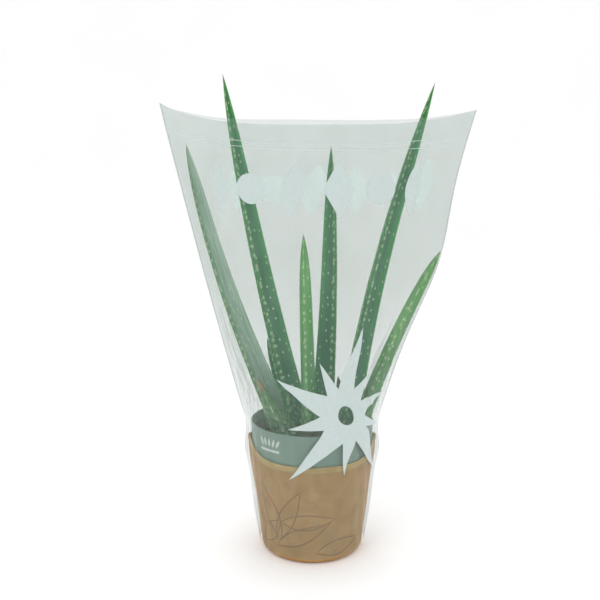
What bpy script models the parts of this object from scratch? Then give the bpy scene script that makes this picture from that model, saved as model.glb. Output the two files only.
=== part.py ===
"""A young aloe in its grow pot, with a kraft paper pot cover and a clear carrying sleeve.

Metres, +Z up.  The origin is the centre of the flat base, on the surface the pot stands on.
The sleeve's welded side seams lie at -X and +X, and its front panel faces -Y.
"""
from dataclasses import dataclass
from math import acos, cos, exp, pi, radians, sin, sqrt

import bmesh
import bpy
from mathutils import Vector

MM = 0.001

# Grow pot: thin moulded plastic with a deep rim band
RIM_RADIUS = 61.0 * MM
POT_HEIGHT = 131.4 * MM
BAND_DEPTH = 34.0 * MM
BAND_DRAFT = 1.1 * MM
BAND_SHOULDER = 4.4 * MM
POT_WALL = 1.2 * MM
FOOT_WIDTH = 5.0 * MM
FOOT_RISE = 3.0 * MM
DRAIN_HOLES = 6
DRAIN_RADIUS = 4.0 * MM
DRAIN_RING_SHARE = 0.62

# Paper cover: a cup of kraft paper whose top edge rises to a peak at each side seam
PAPER_WALL = 0.5 * MM
COVER_BASE_RADIUS = 51.1 * MM
COVER_FILLET = 7.7 * MM
COVER_HEIGHT = 100.5 * MM
COVER_PEAK_RISE = 13.0 * MM
COVER_SEAM_FIN = 2.2 * MM
COVER_HEM = 0.8 * MM
COVER_PEAK_SHARPNESS = 8

# Clear film sleeve: two panels welded along both sides, open at the top and the bottom
FILM_WALL = 0.5 * MM
SLEEVE_HEM = 6.0 * MM
SLEEVE_HEIGHT = 421.0 * MM
SLEEVE_LEFT_REACH = 145.0 * MM
SLEEVE_RIGHT_REACH = 155.0 * MM
SLEEVE_LEFT_CORNER_RISE = 16.0 * MM
SLEEVE_RIGHT_CORNER_RISE = 11.5 * MM
SLEEVE_TOP_DEPTH = 28.0 * MM
SLEEVE_FULLNESS = 0.86
SEAM_FIN = 2.6 * MM
SEAM_BULGE = 1.9 * MM
SEAM_FIN_START = 0.2
SEAM_FIN_RISE = 40.0 * MM
SEAM_BULGE_SPREAD = 15.3 * MM
LEFT_FLARE = 0.93
ROUND_SHARE = 0.3
CORNER_SWEEP = 3
LEAF_PUSH = 10.5 * MM
LEAF_PUSH_CENTRE = 0.52
LEAF_PUSH_SPREAD = 0.21
LEAF_PUSH_START = 0.15

# Potting soil and the short stem that is buried in it
SOIL_DROP = 8.4 * MM
SOIL_DOME = 1.0 * MM
STEM_MARGIN = 10.5 * MM
STEM_DEPTH_RADIUS = 30.0 * MM
STEM_HEIGHT = 14.0 * MM
STEM_PROUD = 1.5 * MM
STEM_EDGE = 1.2 * MM

# Gaps between pieces that touch or nest
TOUCH_GAP = 0.3 * MM
NEST_GAP = 0.8 * MM
SOIL_GAP = 0.4 * MM
FILM_GAP = 1.1 * MM

# Shape of every leaf along its length, in shares from foot to tip
LEAF_THINNING = 0.6
LEAF_POINT_POWER = 9
LEAF_FOOT_TURN = 0.2

RING_STEPS = 40
PANEL_ARC_STEPS = 12
PANEL_FLANK_STEPS = 2


def mix(low, high, share):
    """Return the value that lies the given share of the way from low to high."""
    return low + (high - low) * share


def ease(value, start, end):
    """Return 0 before start and 1 after end, with a smooth rise between them."""
    share = min(max((value - start) / (end - start), 0.0), 1.0)
    return share * share * (3.0 - 2.0 * share)


# ---------------------------------------------------------------- shared outlines

def band_bottom():
    """Height of the shoulder where the rim band starts."""
    return POT_HEIGHT - BAND_DEPTH


def band_radius(z):
    """Outer radius of the rim band at a height."""
    return RIM_RADIUS - BAND_DRAFT * (POT_HEIGHT - z) / BAND_DEPTH


def cover_radius(z):
    """Outer radius of the paper cover at a height: a cone up to the rim band, then round the band."""
    share = (z - COVER_FILLET) / (band_bottom() - COVER_FILLET)
    round_band = band_radius(max(z, band_bottom())) + NEST_GAP + PAPER_WALL
    return mix(COVER_BASE_RADIUS, round_band, min(max(share, 0.0), 1.0))


def pot_floor():
    """Height of the underside of the grow pot's foot ring."""
    return PAPER_WALL + TOUCH_GAP


def foot_radius():
    """Outer radius of the grow pot's foot, which stands inside the cover's rounded edge."""
    return COVER_BASE_RADIUS - COVER_FILLET - NEST_GAP


def soil_level():
    """Height of the soil's surface at the pot's wall."""
    return POT_HEIGHT - SOIL_DROP


def soil_radius():
    """Radius of the soil at its surface."""
    return band_radius(soil_level()) - POT_WALL - SOIL_GAP


def stem_top():
    """Height of the buried stem's top, from which the leaves rise."""
    return soil_level() + STEM_PROUD


def sleeve_section(z):
    """Left and right seam reach, and the half width and depth of the round part, at a height."""
    waist = cover_radius(POT_HEIGHT) + FILM_GAP + FILM_WALL
    if z <= POT_HEIGHT:
        hug = cover_radius(z) + FILM_GAP + FILM_WALL
        bulge = SEAM_BULGE * exp(-((z - COVER_HEIGHT) / SEAM_BULGE_SPREAD) ** 2)
        reach = hug + SEAM_FIN * mix(SEAM_FIN_START, 1.0, ease(z, 0.0, SEAM_FIN_RISE)) + bulge
        return reach, reach, hug, hug
    share = (z - POT_HEIGHT) / (SLEEVE_HEIGHT - POT_HEIGHT)
    seam = waist + SEAM_FIN
    push = LEAF_PUSH * exp(-((share - LEAF_PUSH_CENTRE) / LEAF_PUSH_SPREAD) ** 2)
    left = mix(seam, SLEEVE_LEFT_REACH, share ** LEFT_FLARE)
    right = mix(seam, SLEEVE_RIGHT_REACH, share) + push * ease(share, 0.0, LEAF_PUSH_START)
    half = (left + right) / 2
    round_half = mix(waist, SLEEVE_FULLNESS * half, ease(share, 0.0, ROUND_SHARE))
    return left, right, round_half, mix(waist, SLEEVE_TOP_DEPTH, share)


# ---------------------------------------------------------------- making objects

def material(name, colour, roughness, metallic=0.0):
    """Make a Principled material of one colour."""
    made = bpy.data.materials.new(name)
    made.use_nodes = True
    shader = made.node_tree.nodes["Principled BSDF"]
    shader.inputs["Base Color"].default_value = (*colour, 1.0)
    shader.inputs["Roughness"].default_value = roughness
    shader.inputs["Metallic"].default_value = metallic
    return made


def place(name, bm, finish):
    """Turn a bmesh into a named object with its material, shaded smooth across soft edges."""
    mesh = bpy.data.meshes.new(name)
    bm.to_mesh(mesh)
    bm.free()
    mesh.materials.append(finish)
    mesh.shade_smooth()
    mesh.set_sharp_from_angle(angle=radians(35))
    made = bpy.data.objects.new(name, mesh)
    bpy.context.scene.collection.objects.link(made)
    return made


def thicken(made, wall):
    """Give a surface its wall, on the side away from its normals."""
    solid = made.modifiers.new("Wall", "SOLIDIFY")
    solid.thickness = wall
    solid.offset = -1.0
    solid.use_even_offset = True


def cut(made, cutter):
    """Cut one object with a hidden cutter."""
    cutter.hide_render = True
    cutter.display_type = "WIRE"
    boolean = made.modifiers.new("Cut", "BOOLEAN")
    boolean.operation = "DIFFERENCE"
    boolean.solver = "EXACT"
    boolean.object = cutter


def turned(profile):
    """Spin a profile of (radius, height) points that starts and ends on the Z axis."""
    bm = bmesh.new()
    points = [bm.verts.new((radius, 0.0, z)) for radius, z in profile]
    edges = [bm.edges.new(pair) for pair in zip(points, points[1:])]
    bmesh.ops.spin(bm, geom=points + edges, cent=(0, 0, 0), axis=(0, 0, 1), angle=2 * pi,
                   steps=RING_STEPS, use_merge=True)
    bmesh.ops.remove_doubles(bm, verts=bm.verts, dist=1e-6)
    bmesh.ops.recalc_face_normals(bm, faces=bm.faces)
    return bm


def ellipse_prism(half_x, half_y, low, high, bevel):
    """Make an upright elliptical disc with rounded edges."""
    bm = bmesh.new()
    made = bmesh.ops.create_circle(bm, cap_ends=True, radius=1.0, segments=RING_STEPS)
    bmesh.ops.scale(bm, vec=(half_x, half_y, 1.0), verts=made["verts"])
    bmesh.ops.translate(bm, vec=(0, 0, low), verts=made["verts"])
    raised = bmesh.ops.extrude_face_region(bm, geom=list(bm.faces))
    lifted = [item for item in raised["geom"] if isinstance(item, bmesh.types.BMVert)]
    bmesh.ops.translate(bm, vec=(0, 0, high - low), verts=lifted)
    bmesh.ops.recalc_face_normals(bm, faces=bm.faces)
    if bevel:
        rims = [edge for edge in bm.edges if abs(edge.verts[0].co.z - edge.verts[1].co.z) < 1e-9]
        bmesh.ops.bevel(bm, geom=rims, offset=bevel, segments=2, profile=0.5, affect="EDGES")
    return bm


# ---------------------------------------------------------------- pot, cover and sleeve

def make_grow_pot(finish):
    """Turn the grow pot and cut its drain holes."""
    low = pot_floor()
    shelf = low + FOOT_RISE
    band = band_radius(band_bottom())
    wall_top = band - BAND_SHOULDER
    foot = foot_radius()
    profile = [
        (0.0, shelf),
        (foot - FOOT_WIDTH, shelf),
        (foot - FOOT_WIDTH, low),
        (foot, low),
        (wall_top, band_bottom()),
        (band, band_bottom()),
        (RIM_RADIUS, POT_HEIGHT),
        (RIM_RADIUS - POT_WALL, POT_HEIGHT),
        (band - POT_WALL, band_bottom() + POT_WALL),
        (wall_top - POT_WALL, band_bottom() + POT_WALL),
        (foot - POT_WALL, shelf + POT_WALL),
        (0.0, shelf + POT_WALL),
    ]
    pot = place("grow_pot", turned(profile), finish)
    ring = (foot - FOOT_WIDTH) * DRAIN_RING_SHARE
    for index in range(DRAIN_HOLES):
        angle = 2 * pi * index / DRAIN_HOLES
        drill = ellipse_prism(DRAIN_RADIUS, DRAIN_RADIUS, low, shelf + 3 * POT_WALL, 0.0)
        bmesh.ops.translate(drill, vec=(ring * cos(angle), ring * sin(angle), 0), verts=drill.verts)
        cut(pot, place(f"drain_drill_{index + 1}", drill, finish))
    return pot


def make_paper_cover(finish):
    """Make the paper cup, pinched at both seams, with a top edge that peaks there."""
    rings = []
    for step in range(5):
        turn = radians(90) * step / 4
        radius = COVER_BASE_RADIUS - COVER_FILLET * (1 - sin(turn))
        rings.append((radius, COVER_FILLET * (1 - cos(turn)), 0.0, 0.0))
    levels = [mix(COVER_FILLET, min(band_bottom(), COVER_HEIGHT), step / 4) for step in range(1, 5)]
    if COVER_HEIGHT > band_bottom():
        levels.append(COVER_HEIGHT)
    for z in levels:
        rings.append((cover_radius(z), z, (z / COVER_HEIGHT) ** 2, 0.0))
    top = COVER_HEIGHT + COVER_HEM
    rings.append((cover_radius(top), top, 1.0, COVER_PEAK_RISE))
    bm = bmesh.new()
    rows = []
    for radius, z, pinch, peak in rings:
        slope = acos(radius / (radius + COVER_SEAM_FIN * pinch))
        row = []
        for index in range(RING_STEPS):
            angle = 2 * pi * index / RING_STEPS
            off_seam = min(abs(angle), abs(angle - pi), abs(angle - 2 * pi))
            lift = peak * abs(cos(angle)) ** COVER_PEAK_SHARPNESS
            follow = cover_radius(z + lift) - cover_radius(z) if lift else 0.0
            spread = (radius + follow) / cos(max(0.0, slope - off_seam))
            row.append(bm.verts.new((spread * cos(angle), spread * sin(angle), z + lift)))
        rows.append(row)
    for lower, upper in zip(rows, rows[1:]):
        for index in range(RING_STEPS):
            after = (index + 1) % RING_STEPS
            bm.faces.new((lower[index], lower[after], upper[after], upper[index]))
    bm.faces.new(list(reversed(rows[0])))
    cover = place("kraft_cover", bm, finish)
    thicken(cover, PAPER_WALL)
    return cover


def panel_row(z, side):
    """Points across one film panel at a height, from the left seam to the right seam."""
    left, right, round_half, depth = sleeve_section(z)
    half = (left + right) / 2
    middle = (right - left) / 2
    slope = acos(round_half / half)
    seam_y = FILM_WALL + TOUCH_GAP / 2
    touch = (round_half * cos(slope), depth * sin(slope))
    row = []
    for step in range(PANEL_FLANK_STEPS):
        share = step / PANEL_FLANK_STEPS
        row.append((-mix(half, touch[0], share), mix(seam_y, touch[1], share)))
    for step in range(PANEL_ARC_STEPS + 1):
        angle = mix(slope, pi - slope, step / PANEL_ARC_STEPS)
        row.append((-round_half * cos(angle), depth * sin(angle)))
    for step in range(1, PANEL_FLANK_STEPS + 1):
        share = step / PANEL_FLANK_STEPS
        row.append((mix(touch[0], half, share), mix(touch[1], seam_y, share)))
    return [(middle + x, side * y) for x, y in row], middle, half


def make_film_panel(name, side, finish):
    """Make one panel of the sleeve; side is -1 for the front and 1 for the back."""
    levels = [SLEEVE_HEM]
    levels += [mix(SLEEVE_HEM, POT_HEIGHT, share) for share in (0.3, 0.55, 0.75, 0.87, 1.0)]
    levels += [mix(POT_HEIGHT, SLEEVE_HEIGHT, step / 8) for step in range(1, 9)]
    bm = bmesh.new()
    rows = []
    for z in levels:
        points, middle, half = panel_row(z, side)
        reach = max(0.0, (z - POT_HEIGHT) / (SLEEVE_HEIGHT - POT_HEIGHT))
        row = []
        for x, y in points:
            across = (x - middle) / half
            rise = SLEEVE_LEFT_CORNER_RISE if across < 0 else SLEEVE_RIGHT_CORNER_RISE
            row.append(bm.verts.new((x, y, z + rise * abs(across) ** CORNER_SWEEP * reach)))
        rows.append(row)
    for lower, upper in zip(rows, rows[1:]):
        for index in range(len(lower) - 1):
            corners = (lower[index], lower[index + 1], upper[index + 1], upper[index])
            bm.faces.new(corners if side < 0 else tuple(reversed(corners)))
    panel = place(name, bm, finish)
    thicken(panel, FILM_WALL)
    return panel


# ---------------------------------------------------------------- soil, stem and leaves

def make_soil(finish):
    """Turn the soil that fills the pot and cut the hollow that holds the buried stem."""
    shelf = pot_floor() + FOOT_RISE + POT_WALL + SOIL_GAP
    band = band_radius(band_bottom())
    wall_top = band - BAND_SHOULDER
    ledge = band_bottom() + POT_WALL + SOIL_GAP
    profile = [
        (0.0, shelf),
        (foot_radius() - POT_WALL - SOIL_GAP, shelf),
        (wall_top - POT_WALL - SOIL_GAP, ledge),
        (band_radius(ledge) - POT_WALL - SOIL_GAP, ledge),
        (soil_radius(), soil_level()),
        (0.0, soil_level() + SOIL_DOME),
    ]
    soil = place("potting_soil", turned(profile), finish)
    hollow = ellipse_prism(soil_radius() - STEM_MARGIN + TOUCH_GAP, STEM_DEPTH_RADIUS + TOUCH_GAP,
                           stem_top() - STEM_HEIGHT - TOUCH_GAP, POT_HEIGHT, 0.0)
    cut(soil, place("stem_hollow", hollow, finish))
    return soil


def make_stem(finish):
    """Make the short broad stem that the leaves rise from."""
    disc = ellipse_prism(soil_radius() - STEM_MARGIN, STEM_DEPTH_RADIUS,
                         stem_top() - STEM_HEIGHT, stem_top(), STEM_EDGE)
    return place("buried_stem", disc, finish)


@dataclass(frozen=True)
class Leaf:
    """One lance-shaped leaf; foot and reach are shares of the stem's and the sleeve's half width."""

    name: str
    foot: tuple          # share of the stem's half width along X, and place along Y
    height: float        # height of the tip above the stem's top
    reach: float         # share of the sleeve's half width that the tip lies at
    tip_y: float         # place of the tip along Y
    bow: float           # how far the middle of the leaf leaves a straight line, along X
    width: float         # width at the foot
    body: float          # thickness at the foot
    facing: float        # direction that the hollow side faces, in degrees from -Y towards +X
    channel: float       # depth of the hollow side as a share of the width
    taper: float = 0.55  # how much of the width is lost before the point


LEAVES = (
    Leaf("leaf_outer_left", (-0.68, 10 * MM), 276 * MM, -0.862, -2 * MM, -9 * MM, 26 * MM, 5 * MM, 32, 0.20),
    Leaf("leaf_tall_left", (-0.28, 1 * MM), 339 * MM, -0.575, -16 * MM, -4 * MM, 26 * MM, 6 * MM, 20, 0.20),
    Leaf("leaf_front_short", (-0.07, -20 * MM), 192 * MM, -0.075, -22 * MM, 0 * MM, 17 * MM, 5 * MM, 170, 0.16),
    Leaf("leaf_centre", (0.30, 8 * MM), 275 * MM, 0.12, 5 * MM, 3 * MM, 22 * MM, 6 * MM, -35, 0.24),
    Leaf("leaf_tall_right", (0.60, -4 * MM), 334 * MM, 0.746, 2 * MM, -9 * MM, 22 * MM, 5 * MM, 32, 0.24),
    Leaf("leaf_outer_right", (0.94, 1 * MM), 174 * MM, 0.975, 0 * MM, -3 * MM, 18 * MM, 4 * MM, 160, 0.15),
    Leaf("leaf_old_front", (-0.49, -25.5 * MM), 55 * MM, -0.66, -27 * MM, -1 * MM, 25 * MM, 5 * MM, 180, 0.12),
    Leaf("leaf_small_left", (-0.76, -9 * MM), 38 * MM, -0.63, -12 * MM, -2 * MM, 14 * MM, 4 * MM, 150, 0.15),
    Leaf("leaf_dried", (0.70, 17 * MM), 47 * MM, 0.33, 10 * MM, -1 * MM, 12 * MM, 3 * MM, -10, 0.20),
    Leaf("leaf_behind_left", (-0.33, 17 * MM), 86 * MM, -0.50, 11 * MM, -3 * MM, 12 * MM, 4 * MM, 10, 0.15),
)

LEAF_LEVELS = (0.0, 0.06, 0.14, 0.24, 0.35, 0.46, 0.57, 0.68, 0.78, 0.87, 0.94, 0.98)
LEAF_ACROSS = (-1.0, -0.5, 0.0, 0.5, 1.0)


def leaf_line(leaf):
    """Foot, control point and tip of the curve that a leaf follows."""
    stem_half = soil_radius() - STEM_MARGIN
    low = stem_top() + TOUCH_GAP
    foot = Vector((leaf.foot[0] * stem_half, leaf.foot[1], low))
    left, right, _, _ = sleeve_section(min(low + leaf.height, SLEEVE_HEIGHT))
    side = right if leaf.reach > 0 else left
    tip = Vector((leaf.reach * side, leaf.tip_y, low + leaf.height))
    middle = (foot + tip) / 2 + Vector((leaf.bow, 0, 0))
    return foot, 2 * middle - (foot + tip) / 2, tip


def leaf_section(leaf, share):
    """Outline of a leaf across its length: hollow side first, then the full outer side."""
    closing = 1.0 - share ** LEAF_POINT_POWER
    width = leaf.width * (1.0 - leaf.taper * share) * closing
    body = leaf.body * (1.0 - LEAF_THINNING * share) * closing
    hollow = leaf.channel * width
    inner = [(across * width / 2, hollow * across ** 2) for across in LEAF_ACROSS]
    outer = []
    for across in reversed(LEAF_ACROSS[1:-1]):
        outer.append((across * width / 2, hollow * across ** 2 - body * sqrt(1 - across ** 2)))
    return inner + outer


def make_leaf(leaf, finish):
    """Loft one leaf from its cut foot, which lies level on the stem, to its point."""
    foot, control, tip = leaf_line(leaf)
    turn = radians(leaf.facing)
    facing = Vector((sin(turn), -cos(turn), 0.0))
    bm = bmesh.new()
    rows = []
    for share in LEAF_LEVELS:
        centre = foot * (1 - share) ** 2 + control * 2 * share * (1 - share) + tip * share ** 2
        along = ((control - foot) * (1 - share) + (tip - control) * share).normalized()
        along = Vector((0, 0, 1)).lerp(along, ease(share, 0.0, LEAF_FOOT_TURN)).normalized()
        normal = (facing - along * facing.dot(along)).normalized()
        across = along.cross(normal)
        rows.append([bm.verts.new(centre + across * u + normal * v) for u, v in leaf_section(leaf, share)])
    for lower, upper in zip(rows, rows[1:]):
        for index in range(len(lower)):
            after = (index + 1) % len(lower)
            bm.faces.new((lower[index], lower[after], upper[after], upper[index]))
    point = bm.verts.new(tip)
    for index in range(len(rows[-1])):
        bm.faces.new((rows[-1][index], rows[-1][(index + 1) % len(rows[-1])], point))
    bm.faces.new(rows[0])
    bmesh.ops.triangulate(bm, faces=bm.faces)
    bmesh.ops.recalc_face_normals(bm, faces=bm.faces)
    return place(leaf.name, bm, finish)


def main():
    """Clear the scene and build every piece."""
    for item in list(bpy.data.objects):
        bpy.data.objects.remove(item)
    film = material("clear_film", (0.62, 0.70, 0.66), 0.15)
    paper = material("kraft_paper", (0.32, 0.21, 0.12), 0.85)
    plastic = material("grey_plastic", (0.22, 0.27, 0.24), 0.5)
    peat = material("peat_soil", (0.06, 0.045, 0.03), 0.95)
    skin = material("aloe_skin", (0.09, 0.22, 0.10), 0.45)
    husk = material("dry_leaf", (0.20, 0.14, 0.08), 0.8)
    make_grow_pot(plastic)
    make_paper_cover(paper)
    make_film_panel("film_front_panel", -1, film)
    make_film_panel("film_back_panel", 1, film)
    make_soil(peat)
    make_stem(husk)
    for leaf in LEAVES:
        make_leaf(leaf, husk if leaf.name == "leaf_dried" else skin)


main()
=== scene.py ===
"""Looks of a young aloe in a grow pot, with its kraft paper pot cover and clear carrying sleeve.

Everything is in metres in the frame of the CAD model: +Z up, the pot's flat base on Z = 0, the
sleeve's welded seams at -X and +X and its front panel facing -Y.
"""
import logging
import math
from dataclasses import dataclass
from enum import Enum
from functools import partial
from typing import Any, Callable, Iterable, Sequence

import bpy
import numpy as np
from bpy.types import Material, Node, NodeSocket, NodeTree, Object
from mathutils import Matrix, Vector, noise


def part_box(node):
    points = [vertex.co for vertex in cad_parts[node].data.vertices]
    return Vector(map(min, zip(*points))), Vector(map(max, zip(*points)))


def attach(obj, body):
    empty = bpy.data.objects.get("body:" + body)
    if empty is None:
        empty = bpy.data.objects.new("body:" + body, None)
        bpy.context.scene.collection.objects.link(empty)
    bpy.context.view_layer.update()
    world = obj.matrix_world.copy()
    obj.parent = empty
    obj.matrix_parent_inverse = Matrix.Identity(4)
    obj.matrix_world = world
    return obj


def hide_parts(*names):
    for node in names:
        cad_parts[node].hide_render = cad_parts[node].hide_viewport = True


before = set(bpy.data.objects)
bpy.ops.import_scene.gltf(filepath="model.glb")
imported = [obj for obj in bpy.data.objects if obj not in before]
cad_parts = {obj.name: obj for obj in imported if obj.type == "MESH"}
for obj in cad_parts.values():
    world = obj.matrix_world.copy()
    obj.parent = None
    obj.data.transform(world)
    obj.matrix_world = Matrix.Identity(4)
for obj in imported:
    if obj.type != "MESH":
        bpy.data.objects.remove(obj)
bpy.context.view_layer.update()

MM = 0.001
BODY = "root"

Array = np.ndarray
Surface = Callable[[Array, Array], Array]
FlatShape = tuple[int, int, Surface]
Inputs = dict[Any, Any]

log = logging.getLogger("aloe")


class Side(Enum):
    """The two panels of the sleeve, as the sign of the Y side that each faces."""

    FRONT = -1
    BACK = 1


# ---------------------------------------------------------------- small numbers

def mix(low: Any, high: Any, share: Any) -> Any:
    """Return the value that lies a share of the way from low to high."""
    return low + (high - low) * share


def ease(value: Any, start: float, end: float) -> Any:
    """Return 0 before start and 1 after end, with a smooth rise between them.

    Args:
        value: A number or an array.
        start: Where the rise starts.
        end: Where the rise ends.

    Returns:
        The eased value or values.
    """
    share = np.clip((value - start) / (end - start), 0.0, 1.0)
    return share * share * (3.0 - 2.0 * share)


def bump(value: Any, centre: float, width: float) -> Any:
    """Return a bell that is 1 at the centre and falls away over the width."""
    return np.exp(-((value - centre) / width) ** 2)


def linear(code: str) -> tuple[float, float, float, float]:
    """Turn an sRGB hex value into linear RGBA.

    Args:
        code: Six hex digits.

    Returns:
        Red, green, blue and an alpha of 1.
    """
    parts = [int(code[at:at + 2], 16) / 255 for at in (0, 2, 4)]
    red, green, blue = (p / 12.92 if p <= 0.04045 else ((p + 0.055) / 1.055) ** 2.4 for p in parts)
    return red, green, blue, 1.0


# ---------------------------------------------------------------- mesh work

def deselect() -> None:
    """Leave edit mode and deselect every object."""
    if bpy.context.object and bpy.context.object.mode != "OBJECT":
        bpy.ops.object.mode_set(mode="OBJECT")
    bpy.ops.object.select_all(action="DESELECT")


def activate(obj: Object) -> None:
    """Make one object the only selected and the active one.

    Args:
        obj: The object.
    """
    deselect()
    obj.select_set(True)
    bpy.context.view_layer.objects.active = obj


def points_of(obj: Object) -> Array:
    """Return the mesh's points as an array of rows.

    Args:
        obj: The object.

    Returns:
        The mesh's points, a row each.
    """
    flat = np.empty(len(obj.data.vertices) * 3)
    obj.data.vertices.foreach_get("co", flat)
    return flat.reshape(-1, 3)


def move_points(obj: Object, points: Array) -> None:
    """Write an array of rows back to the mesh's points."""
    obj.data.vertices.foreach_set("co", np.ascontiguousarray(points).ravel())
    obj.data.update()


def shaped_grid(name: str, columns: int, rows: int, surface: Surface,
                size: tuple[float, float] = (1, 1), marks: dict[str, Surface] | None = None) -> Object:
    """Add a grid and drape it over a surface.

    Args:
        name: The piece's name.
        columns: Cells across, along u.
        rows: Cells up, along v.
        surface: Gives the points for arrays of u and v, both from 0 to 1.
        size: What u and v of 1 measure in the UV map, in millimetres.
        marks: Numbers to store on each point under a name, from u and v.

    Returns:
        The new object, with its place in its mesh.
    """
    deselect()
    bpy.ops.mesh.primitive_grid_add(x_subdivisions=columns, y_subdivisions=rows, size=1)
    obj = bpy.context.object
    obj.name = obj.data.name = name
    flat = points_of(obj) + 0.5
    move_points(obj, surface(flat[:, 0], flat[:, 1]))
    for mark, rule in (marks or {}).items():
        values = np.ascontiguousarray(rule(flat[:, 0], flat[:, 1]), dtype=float)
        obj.data.attributes.new(mark, "FLOAT", "POINT").data.foreach_set("value", values)
    layer = obj.data.uv_layers[0]
    layer.name = "millimetres"
    uv = np.empty(len(layer.data) * 2)
    layer.data.foreach_get("uv", uv)
    layer.data.foreach_set("uv", (uv.reshape(-1, 2) * np.array(size)).ravel())
    return obj


def close_up(obj: Object, gap: float = 0.01 * MM) -> None:
    """Merge the seam and the poles of a rolled grid and turn its faces outwards.

    Args:
        obj: The rolled grid.
        gap: How near two points are that become one.
    """
    activate(obj)
    bpy.ops.object.mode_set(mode="EDIT")
    bpy.ops.mesh.select_all(action="SELECT")
    bpy.ops.mesh.remove_doubles(threshold=gap)
    bpy.ops.mesh.normals_make_consistent(inside=False)
    bpy.ops.object.mode_set(mode="OBJECT")


def turn_faces(obj: Object, outwards: Callable[[Vector], Vector]) -> None:
    """Flip an open sheet if its faces look away from the outward direction.

    Args:
        obj: The sheet.
        outwards: Gives the outward direction at a point.
    """
    score = sum(face.area * face.normal.dot(outwards(face.center)) for face in obj.data.polygons)
    if score < 0:
        obj.data.flip_normals()


def away_from_axis(place: Vector) -> Vector:
    """Return the direction that points level away from the plant's axis."""
    return Vector((place.x, place.y, 0))


def thicken(obj: Object, wall: float, offset: float = -1.0) -> None:
    """Give a sheet its wall and apply it.

    Args:
        obj: The sheet, whose faces look outwards.
        wall: The wall's thickness.
        offset: -1 puts the wall inside the sheet and 1 outside it.
    """
    activate(obj)
    solid = obj.modifiers.new("Wall", "SOLIDIFY")
    solid.thickness = wall
    solid.offset = offset
    bpy.ops.object.modifier_apply(modifier=solid.name)


def smooth(obj: Object, angle: float = 40.0) -> None:
    """Shade smooth, with sharp edges past an angle in degrees."""
    activate(obj)
    bpy.ops.object.shade_smooth_by_angle(angle=math.radians(angle))


def joined(name: str, objects: Sequence[Object]) -> Object:
    """Join pieces into one object.

    Args:
        name: The joined object's name.
        objects: The pieces.

    Returns:
        The joined object.
    """
    deselect()
    for obj in objects:
        obj.select_set(True)
    bpy.context.view_layer.objects.active = objects[0]
    if len(objects) > 1:
        bpy.ops.object.join()
    made = bpy.context.view_layer.objects.active
    made.name = made.data.name = name
    return made


def copies(name: str, seed: Object, places: Iterable[Array]) -> Object:
    """Copy a small seed shape to many places in one mesh, and remove the seed.

    Args:
        name: The new object's name.
        seed: The shape that is copied.
        places: A 4 x 4 matrix for each copy.

    Returns:
        The object that holds every copy.
    """
    corners = points_of(seed)
    faces = [tuple(face.vertices) for face in seed.data.polygons]
    points, polygons = [], []
    for matrix in places:
        start = len(points) * len(corners)
        points.append(corners @ matrix[:3, :3].T + matrix[:3, 3])
        polygons += [tuple(start + corner for corner in face) for face in faces]
    mesh = bpy.data.meshes.new(name)
    mesh.from_pydata(np.concatenate(points).tolist(), [], polygons)
    made = bpy.data.objects.new(name, mesh)
    bpy.context.scene.collection.objects.link(made)
    bpy.data.objects.remove(seed)
    return made


def finished(obj: Object, finish: Material, replaced: Sequence[str] = ()) -> Object:
    """Dress a piece, let it ride on the body and report it.

    Args:
        obj: The piece.
        finish: Its material.
        replaced: The CAD nodes that the piece stands for.

    Returns:
        The same piece.
    """
    obj.data.materials.clear()
    obj.data.materials.append(finish)
    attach(obj, BODY)
    if replaced:
        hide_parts(*replaced)
    log.info("%s: %d faces, %s", obj.name, len(obj.data.polygons), finish.name)
    return obj


# ---------------------------------------------------------------- material work

def feed(tree: NodeTree, node: Node, inputs: Inputs) -> None:
    """Link or set a node's inputs.

    Args:
        tree: The material's node tree.
        node: The node.
        inputs: A value, a socket or a node, for its first output, for each input by name or number.
    """
    for key, value in inputs.items():
        if isinstance(value, Node):
            value = value.outputs[0]
        if isinstance(value, NodeSocket):
            tree.links.new(value, node.inputs[key])
        else:
            node.inputs[key].default_value = value


def add_node(tree: NodeTree, kind: str, settings: dict[str, Any] | None = None,
             inputs: Inputs | None = None, stops: Sequence[tuple[float, str]] = ()) -> Node:
    """Add a shader node with its settings, its values and its links.

    Args:
        tree: The material's node tree.
        kind: The node's type without its ShaderNode prefix.
        settings: Properties of the node.
        inputs: What feeds each input, by name or number.
        stops: Places and hex colours, for a colour ramp.

    Returns:
        The new node.
    """
    made = tree.nodes.new("ShaderNode" + kind)
    for key, value in (settings or {}).items():
        setattr(made, key, value)
    feed(tree, made, inputs or {})
    for index, (place, code) in enumerate(stops):
        ramp = made.color_ramp.elements
        stop = ramp[index] if index < 2 else ramp.new(place)
        stop.position, stop.color = place, linear(code)
    return made


def blend_colours(tree: NodeTree, share: Any, low: Any, high: Any, how: str = "MIX") -> NodeSocket:
    """Mix two colours by a share.

    Args:
        tree: The material's node tree.
        share: The factor, a number or a socket.
        low: The colour at 0, a hex value, a node or a socket.
        high: The colour at 1, a hex value, a node or a socket.
        how: The blend type.

    Returns:
        The mixed colour's socket.
    """
    low, high = (linear(c) if isinstance(c, str) else c for c in (low, high))
    node = add_node(tree, "Mix", {"data_type": "RGBA", "blend_type": how}, {0: share, 6: low, 7: high})
    return node.outputs[2]


def per_mm(size: float) -> float:
    """Return the texture scale at which one pattern cell measures a size in millimetres."""
    return 1.0 / (size * MM)


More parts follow.
